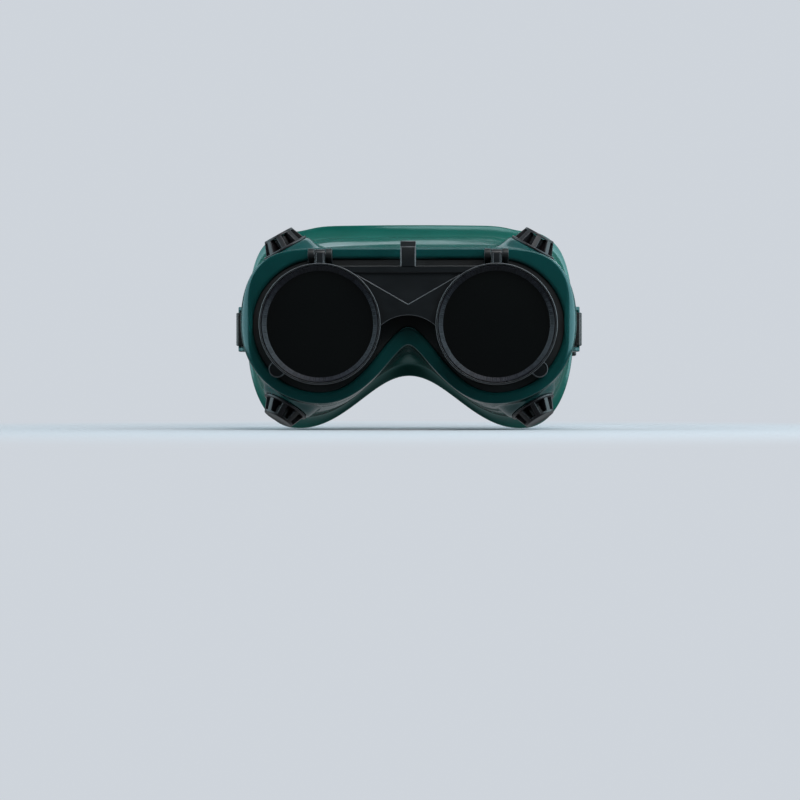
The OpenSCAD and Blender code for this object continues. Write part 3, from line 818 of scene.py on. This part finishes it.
def vent_sleeve():
    """A tube through the wall with a collar and a baffle on spokes."""
    end, tube_r, baffle_r, collar_r, collar_low, collar_high = -7.6, 7.4, 4.3, 10.0, -6.3, -5.1
    tube = stairs(
        (BORE_R, end, tube_r, collar_low, collar_r, collar_high, tube_r, 0),
        [0.2, 0.4, 0.2, 0.35, 0.35, 0.2, 0.2, 0.2],
    )
    baffle = stairs((CORE, end, baffle_r, end + 1), [0, 0.3, 0.3, 0])
    spoke = rectangle(0, 0, 2 * BORE_R + 0.8, 1.2, 0.2)
    spoke = slab(spoke, end + 0.05, end + 0.95, 0.15, 2, "z")
    spokes = [round_axis(spoke, pi * i / 3) for i in range(3)]
    return joined(lathe(tube, 96), turned(baffle, 64), *spokes)


cap, sleeve = vent_cap(), vent_sleeve()
for side, up in VENTS:
    where = f"{UP_NAME[up]}_{SIDE_NAME[side]}"
    for kind, solid in (("cap", cap), ("sleeve", sleeve)):
        solid = moved(solid, vent_place(side, up))
        replaced = [f"vent_{kind}_{where}"]
        piece(f"{kind}_{where}", solid, VENT_BLACK, "mask", replaced)

# ---------------- lens frame and clear lenses

FRAME_LIP_Y, FRAME_FACE_Y, FRAME_BACK_Y = FACE_Y + FACE_T + 0.05, FACE_Y + 1.4, FACE_Y + 4.5
SEAT_R, SEAT_OUTER_R, SEAT_LIP_R = LENS_R + 0.15, RING_R + 0.2, 23.7
SEAT_BACK_Y = FACE_Y + 9.5
EAR_R, EAR_W, EAR_LIP_R = 2.4, 2.75, 30.3


def frame_plate(line, y_low, y_high, hole_r):
    """A plate to an outline with a hole on each lens axis, in two halves."""
    right = line[line[:, 0] >= -1e-6]
    middle = [(0, z) for z in linspace(right[-1, 1], right[0, 1], 14)[1:-1]]
    border = concatenate([right, middle])
    angle = np.arctan2(border[:, 1], border[:, 0] - LENS_X)
    hole = stack([LENS_X + hole_r * np.cos(angle), hole_r * np.sin(angle)], 1)
    corners = ((border, y_low), (border, y_high), (hole, y_high), (hole, y_low))
    points, faces = loft([flat_ring(p, "y", y) for p, y in corners], closed=True)
    faces = [face for face in faces if np.abs(points[face][:, 0]).max() > 1e-6]
    return [(points, faces), flipped((points, faces), LEFT)]


def ear_outline():
    """Side view of a hinge ear, with its foot behind the mask's lip."""
    foot_top = OPENING_TOP * sqrt(1 - (EAR_OUT / EAR_LIP_R) ** 2) - 0.25
    brow, foot_low = FACE_Y - 0.5, foot_top - 1.6
    round_end = arc(HINGE_Y, HINGE_Z, EAR_R, 90, 232, 14)
    foot = [
        (HINGE_Y + 4.5, foot_low), (FRAME_LIP_Y, foot_low), (FRAME_LIP_Y, foot_top),
        (brow, foot_top), (brow, HINGE_Z + EAR_R),
    ]
    return filleted([*round_end, *foot], [0] * len(round_end) + [1.2, 0, 0, 0.3, 0.6], 4)


def lens_frame():
    tuck, gap = 2.1, 0.25
    solids = frame_plate(grow(OPENING_LINE, tuck), FRAME_LIP_Y, FRAME_BACK_Y, SEAT_LIP_R)
    shown = grow(OPENING_LINE, -gap)
    solids += frame_plate(shown, FRAME_FACE_Y, FRAME_LIP_Y + 0.05, SEAT_LIP_R)
    seat = stairs(
        (SEAT_LIP_R, FRAME_FACE_Y, SEAT_OUTER_R, SEAT_BACK_Y, SEAT_R, CLEAR_FRONT),
        [0.25, 0.1, 0.3, 0.2, 0.05, 0.2],
    )
    for side in (LEFT, RIGHT):
        solids.append(on_lens(lathe(seat), side))
        for ear in (LEFT, RIGHT):
            low = side * LENS_X + ear * (EAR_OUT - EAR_W / 2) - EAR_W / 2
            solids.append(slab(ear_outline(), low, low + EAR_W, 0.15, axis="x"))
    return joined(*solids)


piece("lens_frame_body", lens_frame(), FRAME_BLACK, "mask", ["lens_frame"])


def lens(front, back, bevel):
    return turned(stairs((CORE, front, LENS_R, back), [0, bevel, bevel, 0], 4))


def threaded(outer, low, high, pitch, depth):
    """The grooved outer side of a screw ring, as a profile."""
    count = max(1, int((high - low) / pitch))
    made = []
    for i in range(count):
        h = low + (high - low) * i / count
        made += [(outer, h), (outer - depth, h + (high - low) / count / 2)]
    return made + [(outer, high)]


def cover_ring():
    """The screw ring behind a clear lens, with a knurled flange."""
    inner_r, low, high, grips = 22.8, CLEAR_BACK + 0.1, CLEAR_RING_BACK, 48
    flange_low = high - 1.2
    rim = [(SEAT_OUTER_R, flange_low), (SEAT_OUTER_R, high), (inner_r, high)]
    profile = [
        (inner_r, low), *threaded(LENS_R, low, flange_low - 0.1, 0.9, 0.25),
        (LENS_R - 0.1, flange_low), *filleted(rim, [0.3, 0.4, 0], 4)[:-1],
        (inner_r + 0.4, high), (inner_r, high - 0.4),
    ]

    def grip(a, r, h):
        return np.where((r > LENS_R + 1) & (np.cos(a * grips) > 0.2), -0.35, 0.0)

    return lathe(profile, 12 * grips, grip)


def on_lenses(body, *parts):
    """The parts as pieces on the left lens axis, then on the right one."""
    for side, name in SIDE_NAME.items():
        for kind, solid, material, slot, node, angle in parts:
            solid, replaced = on_lens(solid, side), [f"{node}_{name}"]
            piece(f"{kind}_{name}", solid, material, body, replaced, angle)


glass = lens(CLEAR_FRONT, CLEAR_BACK, 0.25)
on_lenses(
    "mask",
    ("cover_lens", glass, CLEAR_GLASS, "clear_glass", "clear_lens", 40),
    ("cover_ring", cover_ring(), FRAME_BLACK, "black_plastic", "clear_lens_ring", 40),
)

# ---------------- hinge pins


def hinge_pin():
    """A pin about Z with domed ends."""
    half = EAR_OUT
    dome = [(CORE, -half), (PIN_R * 0.7, -half + 0.02), (PIN_R * 0.95, -half + 0.15),
            (PIN_R, -half + 0.35)]
    return turned(dome + [(PIN_R, 0)] + [(r, -h) for r, h in dome[::-1]], 48)


for side, name in SIDE_NAME.items():
    at = Matrix.Translation((side * LENS_X, HINGE_Y, HINGE_Z))
    pin = moved(hinge_pin(), at @ Matrix.Rotation(pi / 2, 4, "Y"))
    piece(f"pin_{name}", pin, STEEL, "mask", [f"hinge_pin_{name}"])

# ---------------- lift front

LIFT_BACK_Y = FRAME_FACE_Y - 0.3
RIM_R, RIM_DEPTH, LEDGE_T = RING_R - 0.8, 1.5, 1.5
BRIDGE_Y, BRIDGE_T, BRIDGE_TOP = FRONT_Y + 1.8, 2.0, 25.8
BRIDGE_R, ARCH_TOP, ARCH_R = RING_R - 0.4, 3.9, 18.0
BAR_FRONT, BAR_BACK, BAR_H = BRIDGE_Y - 1.2, BRIDGE_Y + 2.4, 3.1
V_LOW_Z, V_END_X, V_END_Z = 8.6, 24, 22.4
KNUCKLE_R, KNUCKLE_HALF_W = 2.2, 2.25
TAB_R, TAB_REACH, TAB_ANGLE = 3.8, RING_R + 0.7, 46


def lift_ring():
    """The tube round a filter: rim, seat, ledge and skirt."""
    rim_back, ledge_back = FRONT_Y + RIM_DEPTH, LEDGE_FRONT + LEDGE_T
    return lathe(filleted([
        (RING_R, FRONT_Y), (RING_R, LIFT_BACK_Y), (SEAT_R, LIFT_BACK_Y), (SEAT_R, ledge_back),
        (SEAT_LIP_R, ledge_back), (SEAT_LIP_R, LEDGE_FRONT), (SEAT_R, LEDGE_FRONT),
        (SEAT_R, rim_back), (RIM_R, rim_back), (RIM_R, FRONT_Y),
    ], [0.28, 0.4, 0.2, 0.1, 0.2, 0.2, 0.05, 0.15, 0.15, 0.1], 4), 256)


def ring_side(top, bottom, steps):
    """The right ring's side towards the bridge, between two heights."""
    a, b = (degrees(asin(z / BRIDGE_R)) for z in (top, bottom))
    return arc(LENS_X, 0, BRIDGE_R, 180 - a, 180 - b, steps)


def bar_outline():
    """The thicker bar along the bridge's top."""
    right = ring_side(BRIDGE_TOP, BRIDGE_TOP - BAR_H, 24)
    return concatenate([right, right[::-1] * [-1, 1]])


def bridge_outline():
    """The plate between the rings: a level top and an arch over the nose."""
    gap, arch_z = LENS_X - BRIDGE_R, ARCH_TOP - ARCH_R
    meet = degrees(acos((gap + 0.05) / ARCH_R))
    right = ring_side(BRIDGE_TOP, arch_z + ARCH_R * sin(radians(meet)), 30)
    arch = arc(0, arch_z, ARCH_R, meet, 180 - meet, 40)
    return concatenate([right, arch[1:-1], right[::-1] * [-1, 1]])


def ridge(start, end, base_y, width, height):
    """A raised, rounded line from start to end in X and Z."""
    bedded, fade_rate, fade_low = 0.1, 12, 0.2
    a, b = array(start, float), array(end, float)
    u = (b - a) / np.linalg.norm(b - a)
    side = array([-u[1], u[0]])
    rings = []
    for t in (0, 0.01, *linspace(0.03, 0.97, 9), 0.99, 1):
        fade = min(1.0, fade_rate * t + fade_low, fade_rate * (1 - t) + fade_low)
        ring = []
        for k in np.radians(linspace(0, 180, 9)):
            x, z = a + (b - a) * t + side * cos(k) * width / 2
            ring.append((x, base_y + bedded - (height * fade + bedded) * sin(k), z))
        rings.append(ring)
    return loft(rings)


def tongue():
    """The thumb lever above the hinge line: a step and raised side edges."""
    front, back, behind = BRIDGE_Y - 1.2, HINGE_Y - 0.3, BRIDGE_Y + BRIDGE_T
    foot_z, half_w, edge_x = 25, 3.5, 3.15
    side_view = filleted([
        (front, foot_z), (front, FACE_TOP), (front + 0.8, FACE_TOP), (front + 0.8, TONGUE_TOP),
        (back, TONGUE_TOP), (back, 33.5), (behind, 29), (behind, foot_z),
    ], [0.2, 0.35, 0.2, 0.45, 0.3, 1.0, 0.5, 0.2], 4)
    low, high = foot_z + 0.4, FACE_TOP - 0.3
    edges = (ridge((x, low), (x, high), front, 0.6, 0.18) for x in (-edge_x, edge_x))
    return [slab(side_view, -half_w, half_w, axis="x"), *edges]


def knuckle(side):
    """A ring's hinge barrel, on a foot that grows out of its top."""
    foot_z, line_x = RING_R - 0.8, 1.55
    barrel = arc(HINGE_Y, HINGE_Z, KNUCKLE_R, 0, 180, 20)
    foot = [
        (HINGE_Y - 2.2, HINGE_Z - 2), (HINGE_Y - 2, foot_z),
        (HINGE_Y + 2, foot_z), (HINGE_Y + 2, HINGE_Z - 1),
    ]
    profile = filleted([*barrel, *foot], [0] * len(barrel) + [0.5, 0, 0, 0.3], 4)
    low = side * LENS_X - KNUCKLE_HALF_W
    solids = [slab(profile, low, low + 2 * KNUCKLE_HALF_W, 0.15, axis="x")]
    for x in (side * LENS_X - line_x, side * LENS_X + line_x):
        line = (x, foot_z + 0.6), (x, HINGE_Z + 0.3)
        solids.append(ridge(*line, HINGE_Y - KNUCKLE_R, 0.3, 0.1))
    return solids


def tab(side):
    """A half-round tab low on the ring's outer side, with a raised rim."""
    a = radians(TAB_ANGLE)
    x, z = side * (LENS_X + TAB_REACH * cos(a)), -TAB_REACH * sin(a)
    front = FRONT_Y + 7
    plate = slab(arc(x, z, TAB_R, 0, 360, 64)[:-1], front + 0.3, front + 1.6)
    rim = stairs((TAB_R - 0.55, front, TAB_R, front + 0.8), [0.25, 0.2, 0, 0.1])
    return [plate, moved(lathe(rim, 64), facing_back(x, 0, z))]


def lift_front():
    solids = [
        slab(bridge_outline(), BRIDGE_Y, BRIDGE_Y + BRIDGE_T, 0.3),
        slab(bar_outline(), BAR_FRONT, BAR_BACK, 0.3),
        *tongue(),
    ]
    for side in (LEFT, RIGHT):
        solids.append(on_lens(lift_ring(), side))
        solids.append(ridge((0, V_LOW_Z), (side * V_END_X, V_END_Z), BRIDGE_Y, 0.55, 0.3))
        solids += knuckle(side) + tab(side)
    return joined(*solids)


def gasket():
    return lathe(stairs((SEAT_LIP_R, FILTER_BACK, LENS_R - 0.1, LEDGE_FRONT), 0.25))


def retainer():
    """The screw ring in front of a filter, with fine notches round its cone."""
    notches, notch_depth = 180, 0.07
    front, step_y = FRONT_Y + 0.4, FRONT_Y + RIM_DEPTH - 0.05
    cone_r, cone_y = RIM_R - 0.6, front + 0.08
    cone = linspace((cone_r, cone_y), (SEAT_LIP_R, cone_y + FILTER_FRONT - front - 0.2), 7)
    profile = [
        (RIM_R - 0.55, front), (RIM_R - 0.38, front + 0.12), (RIM_R - 0.33, front + 0.35),
        (RIM_R - 0.33, step_y), *threaded(LENS_R + 0.1, step_y + 0.05, FILTER_FRONT, 0.7, 0.2),
        (SEAT_LIP_R + 0.1, FILTER_FRONT), *cone[::-1],
    ]

    def notch(a, r, h):
        on_cone = SEAT_LIP_R + 0.15 < r < RIM_R - 0.7 and h < FILTER_FRONT - 0.1
        return notch_depth * np.sign(np.sin(a * notches)) if on_cone else 0 * a

    return lathe(profile, 4 * notches, notch)


front = lift_front()
piece("lift_front_body", front, LIFT_BLACK, "lift_front", ["lift_frame"], 35)
glass = lens(FILTER_FRONT, FILTER_BACK, 0.3)
on_lenses(
    "lift_front",
    ("filter", glass, DARK_GLASS, "dark_glass", "filter_lens", 40),
    ("gasket", gasket(), RUBBER, "black_rubber", "filter_gasket", 40),
    ("retainer", retainer(), RING_GREY, "ring_plastic", "filter_ring", 35),
)

# ---------------- head strap

OVER_EDGE_X, OVER_EDGE_Y = BACK_HALF_W + STRAP_PLAY + STRAP_T / 2, (14.0, 20.0)
HEAD_HALF_W, HEAD_START_Y, HEAD_TURN_Y = 77.0, 42.0, 100.0
LAYER_GAP, FREE_END_Y, SEWN_Y = 3.0, 106.0, (16.0, 38.0)
TURN_R = LUG_BAR_T / 2 + STRAP_PLAY + STRAP_T / 2
# How far a layer sinks into the one it is sewn to
SUNK = 0.05
MIRROR = array([-1, 1])


def bend(start, end, steps):
    """Points along Y that move smoothly across X."""
    t = linspace(0, 1, steps + 1)[1:]
    (x, y), (end_x, end_y) = start, end
    return stack([x + (end_x - x) * smooth(t), y + (end_y - y) * t], 1)


def from_bar(x, over_x, head_x, steps):
    """A layer's way from the bar, over the rear edge and on to the head."""
    bar = [(x, LUG_FRONT + 0.1), (x, LUG_BACK)]
    edge = [(over_x, y) for y in OVER_EDGE_Y]
    to_head = bend(edge[1], (head_x, HEAD_START_Y), 14)
    return concatenate([bar, bend(bar[1], edge[0], steps), edge[1:], to_head])


def strap_lines():
    """Centre lines of the webbing from its free end to the left bar, and of its sewn end."""
    x, free_x = LUG_X + TURN_R, HEAD_HALF_W + LAYER_GAP
    inner = from_bar(LUG_X - TURN_R, OVER_EDGE_X, HEAD_HALF_W, 20)
    outer = from_bar(x, OVER_EDGE_X + STRAP_T + 0.3, free_x, 18)
    free = [(free_x, y) for y in linspace(HEAD_START_Y, FREE_END_Y, 20)[1:]]
    turn = arc(LUG_X, LUG_FRONT, TURN_R, 0, -180, 16)
    sides = array([(HEAD_HALF_W, y) for y in linspace(HEAD_START_Y, HEAD_TURN_Y, 20)[1:-1]])
    a = np.radians(linspace(0, 180, 121))
    behind = HEAD_TURN_Y + (HEAD_LENGTH - HEAD_TURN_Y) * np.sin(a)
    line = concatenate([
        free[::-1], outer[::-1], turn, inner, sides,
        stack([HEAD_HALF_W * np.cos(a), behind], 1),
        sides[::-1] * MIRROR, inner[::-1] * MIRROR, turn[::-1] * MIRROR, outer[:2] * MIRROR,
    ])
    over = OVER_EDGE_X + STRAP_T - SUNK
    tail = inner[-14:]
    tail = tail[tail[:, 1] < SEWN_Y[1]] + [STRAP_T - SUNK, 0]
    sewn = concatenate([
        [(x, LUG_BACK - 1)], bend((x, LUG_BACK), (over, SEWN_Y[0]), 18),
        [(over, OVER_EDGE_Y[1])], tail,
    ])
    return line, sewn * MIRROR


def even(line, gap):
    """The line with points evenly spaced by about gap, and each point's distance along it."""
    line = line[concatenate([[True], np.linalg.norm(np.diff(line, axis=0), axis=1) > 1e-6])]
    run = concatenate([[0], np.cumsum(np.linalg.norm(np.diff(line, axis=0), axis=1))])
    at = linspace(0, run[-1], int(run[-1] / gap) + 1)
    return stack([np.interp(at, run, line[:, k]) for k in (0, 1)], 1), at


CORDS, CORD_DEPTH, BOUND_EDGE = 13, 0.07, 0.035


def webbing_section():
    """Half thickness across the band: cords and a thin bound edge."""
    v = linspace(-1, 1, CORDS * 4 + 1)
    cords = CORD_DEPTH * np.abs(np.cos(v * CORDS * pi / 2))
    past = ((np.abs(v) - 1 + BOUND_EDGE) / BOUND_EDGE).clip(0)
    edge = np.sqrt(np.clip(1 - past**2, 0.06, 1))
    return v * STRAP_W / 2, (STRAP_T / 2 - CORD_DEPTH + cords) * edge


def band(line, gap):
    """Webbing along a line, and each point's place along and across it in metres."""
    line, run = even(line, gap)
    along = np.gradient(line, axis=0)
    out = stack([-along[:, 1], along[:, 0]], 1) / np.linalg.norm(along, axis=1)[:, None]
    across, half = webbing_section()
    across, half = concatenate([across, across[::-1]]), concatenate([half, -half[::-1]])
    rings, fields = [], []
    for p, n, s in zip(line, out, run):
        rings.append([(*(p + n * h), STRAP_Z + v) for v, h in zip(across, half)])
        fields += [(s * MM, v * MM, 0) for v in across]
    return loft(rings), fields


def make_band(name, line, gap):
    """A stretch of webbing, with a field that its weave follows."""
    solid, fields = band(line, gap)
    obj = piece(name, solid, WEBBING, "mask", ["head_strap"], 60)
    # Welding moves no point, so the nearest point it was made from has the same place
    made_from = KDTree(len(fields))
    for i, p in enumerate(solid[0]):
        made_from.insert(p * MM, i)
    made_from.balance()
    store = obj.data.attributes.new("weave", "FLOAT_VECTOR", "POINT")
    values = [fields[made_from.find(v.co)[1]] for v in obj.data.vertices]
    store.data.foreach_set("vector", array(values, np.float32).ravel())


STITCH_HALF, STITCH_R, STITCH_GAP = 0.85, 0.22, 2.3
BEDDED = 0.02


def stitch_row(points, direction):
    """Short stitches of thread, each a small rounded bar along direction."""
    end = [(CORE, STITCH_HALF), (STITCH_R * 0.7, STITCH_HALF - 0.08), (STITCH_R, STITCH_HALF - 0.3)]
    stitch = turned([(r, -h) for r, h in end] + end[::-1], 10)
    rotation = Vector(direction).to_track_quat("Z", "Y").to_matrix().to_4x4()
    return [moved(stitch, Matrix.Translation(p) @ rotation) for p in points]


def stitches(sewn):
    """A stitched box with a cross on the left end, and rows on the free end."""
    line, _ = even(sewn, 0.5)
    y_low, y_high = SEWN_Y[0] + 1.5, OVER_EDGE_Y[1] + 14.5
    half_h = STRAP_W / 2 - 2.2

    def outside(y, z):
        x = np.interp(y, line[:, 1], line[:, 0]) - STRAP_T / 2 - BEDDED
        return x, y, STRAP_Z + z

    solids = []
    ys = np.arange(y_low, y_high, STITCH_GAP)
    zs = np.arange(-half_h + 1.2, half_h - 0.5, STITCH_GAP)
    for z in (-half_h, half_h):
        solids += stitch_row([outside(y, z) for y in ys], (0, 1, 0))
    for y in (y_low - 1, y_high):
        solids += stitch_row([outside(y, z) for z in zs], (0, 0, 1))
    run, rise = y_high - y_low, 2 * half_h
    for up in (TOP, BOTTOM):
        for t in linspace(0.08, 0.92, 8):
            spot = outside(y_low + run * t, up * (-half_h + rise * t))
            solids += stitch_row([spot], (0, run, up * rise))
    x = HEAD_HALF_W + LAYER_GAP + STRAP_T / 2 + BEDDED
    for y in (FREE_END_Y - 5.0, FREE_END_Y - 1.6):
        zs = np.arange(-STRAP_W / 2 + 1.6, STRAP_W / 2 - 1, STITCH_GAP)
        solids += stitch_row([(x, y, STRAP_Z + z) for z in zs], (0, 0, 1))
    return joined(*solids)


strap_line, sewn_line = strap_lines()
make_band("strap_webbing", strap_line, 1.6)
make_band("strap_sewn_end", sewn_line, 1.0)
piece("strap_stitches", stitches(sewn_line), THREAD, "mask", ["head_strap"])

# ---------------- slider


def slider():
    """Three upright bars between a head and a foot."""
    w, length, height = SLIDER_SIZE
    slot_t = STRAP_T + 0.6
    bar_t, middle_t = (w - LAYER_GAP - slot_t) / 2, LAYER_GAP - slot_t
    frame_h = (height - STRAP_W - 0.6) / 2
    x, y, z = SLIDER
    solids = []
    for up in (TOP, BOTTOM):
        at = z + up * (height - frame_h) / 2
        end = rectangle(x, y, w, length, 1.1)
        solids.append(slab(end, at - frame_h / 2, at + frame_h / 2, 0.5, 4, "z"))
    bar_x = w / 2 - bar_t / 2
    for offset, t, inset in ((-bar_x, bar_t, 0.5), (0, middle_t, 1.0), (bar_x, bar_t, 0.5)):
        bar = rectangle(x + offset, y, t, length - 2 * inset, 0.45)
        solids.append(slab(bar, z - height / 2 + 1, z + height / 2 - 1, 0.1, 2, "z"))
    teeth_h, tooth_gap = STRAP_W / 2 - 1.5, 1.5
    for k in (-2, -1, 0, 1, 2):
        tooth = rectangle(x + w / 2, y + k * tooth_gap, 0.5, 0.6, 0.2)
        solids.append(slab(tooth, z - teeth_h, z + teeth_h, 0.15, 2, "z"))
    return joined(*solids)


piece("slider_body", slider(), SLIDER_BLACK, "slider", ["strap_slider"])

# ---------------- floor, light and camera, in metres

FLOOR_Z, FLOOR_HALF = mask_low[2] * MM - 0.0002, 6.0
FADE_START, FADE_END = 0.12, 0.42
BACKDROP = (0.62, 0.66, 0.71)


def make_floor():
    """A pale floor that fades into the backdrop."""
    mesh = bpy.data.meshes.new("floor")
    corners = ((-1, -1), (1, -1), (1, 1), (-1, 1))
    mesh.from_pydata([(x * FLOOR_HALF, y * FLOOR_HALF, FLOOR_Z) for x, y in corners], [],
                     [(0, 1, 2, 3)])
    p = Paint("floor_pale", Roughness=1.0, Specular_IOR_Level=0.0)
    pale = p.blend(p.noise(6, 2), (0.56, 0.55, 0.58), (0.575, 0.565, 0.595))
    away = p.add("VectorMath", {0: p.place()}, operation="LENGTH").outputs["Value"]
    far = p.ramp(away, FADE_START, FADE_END, interpolation_type="SMOOTHSTEP")
    p.set(Base_Color=p.blend(far, pale, (0.0, 0.0, 0.0)))
    p.set(Emission_Color=BACKDROP, Emission_Strength=far)
    mesh.materials.append(p.material)
    floor = new_object("floor", mesh)
    floor.visible_glossy = floor.visible_diffuse = False


def make_world():
    """A pale backdrop for the camera, and a room for light: dark in front, pale behind."""
    world = bpy.data.worlds.new("room")
    world.use_nodes = True
    scene.world = world
    world.node_tree.nodes.clear()
    n = Nodes(world.node_tree)

    def glow(direction, start, end, low, high):
        """Light that grows from low to high towards a direction."""
        inputs = {0: n.add("TexCoord").outputs["Generated"], 1: Vector(direction).normalized()}
        turned_to = n.add("VectorMath", inputs, operation="DOT_PRODUCT").outputs["Value"]
        return n.ramp(turned_to, start, end, low, high)

    back = glow((0, 1, 0), -0.95, 0.3, 0.06, 0.17)
    below = glow((0, 0.45, -0.9), 0.25, 0.85, 0.0, 0.30)
    strength = n.math("ADD", back, below)
    room = n.add("Background", {"Color": (0.85, 0.95, 1.0), "Strength": strength})
    seen = n.add("Background", {"Color": BACKDROP})
    camera_ray = n.add("LightPath").outputs["Is Camera Ray"]
    pick = n.add("MixShader", {0: camera_ray, 1: room.outputs[0], 2: seen.outputs[0]})
    n.add("OutputWorld", {0: pick.outputs[0]})


# Name, place, width, height, watts and colour
SOFTBOXES = (
    ("key_front", (0.28, -0.66, 0.84), 0.9, 0.5, 6.5, (1.0, 1.0, 1.0)),
    ("top", (0.0, 0.12, 0.95), 1.4, 0.9, 0.8, (0.9, 0.98, 1.0)),
    ("side_left", (-0.92, -0.12, 0.34), 1.4, 1.1, 12, (0.68, 0.92, 1.0)),
    ("side_right", (0.92, -0.12, 0.34), 1.4, 1.1, 16, (0.68, 0.92, 1.0)),
    ("strip_high", (0.0, 0.80, 0.70), 1.3, 0.45, 2.2, (0.80, 0.94, 1.0)),
    ("strip_low", (0.0, 1.0, 0.22), 1.4, 0.1, 0.8, (0.75, 0.94, 1.0)),
)
LIT = Vector((0, -0.01, 0))


def aimed(obj, place, direction):
    obj.location = place
    obj.rotation_euler = direction.to_track_quat("-Z", "Y").to_euler()


def softbox(name, place, width, height, watts, colour):
    light = bpy.data.lights.new(name, "AREA")
    light.shape, light.size, light.size_y = "RECTANGLE", width, height
    light.energy, light.color = watts, colour
    obj = new_object(name, light)
    obj.visible_camera = False
    aimed(obj, place, LIT - Vector(place))


# The camera's place against the front's middle, in metres
CAMERA_AWAY, CAMERA_ASIDE, CAMERA_Z = 0.950, 0.00354, -0.0337


def make_camera():
    """A long lens level with the goggles' lower half, turned one degree."""
    data = bpy.data.cameras.new("camera")
    data.sensor_width, data.lens = 36.0, 96.6
    data.clip_start = 0.01
    yaw = radians(1.0)
    ahead = Vector((-sin(yaw), cos(yaw), 0))
    right = Vector((cos(yaw), sin(yaw), 0))
    target = Vector((0, FRONT_Y * MM, CAMERA_Z))
    scene.camera = new_object("camera", data)
    aimed(scene.camera, target - ahead * CAMERA_AWAY - right * CAMERA_ASIDE, ahead)


make_floor()
make_world()
for box in SOFTBOXES:
    softbox(*box)
make_camera()
scene.view_settings.view_transform = "Standard"
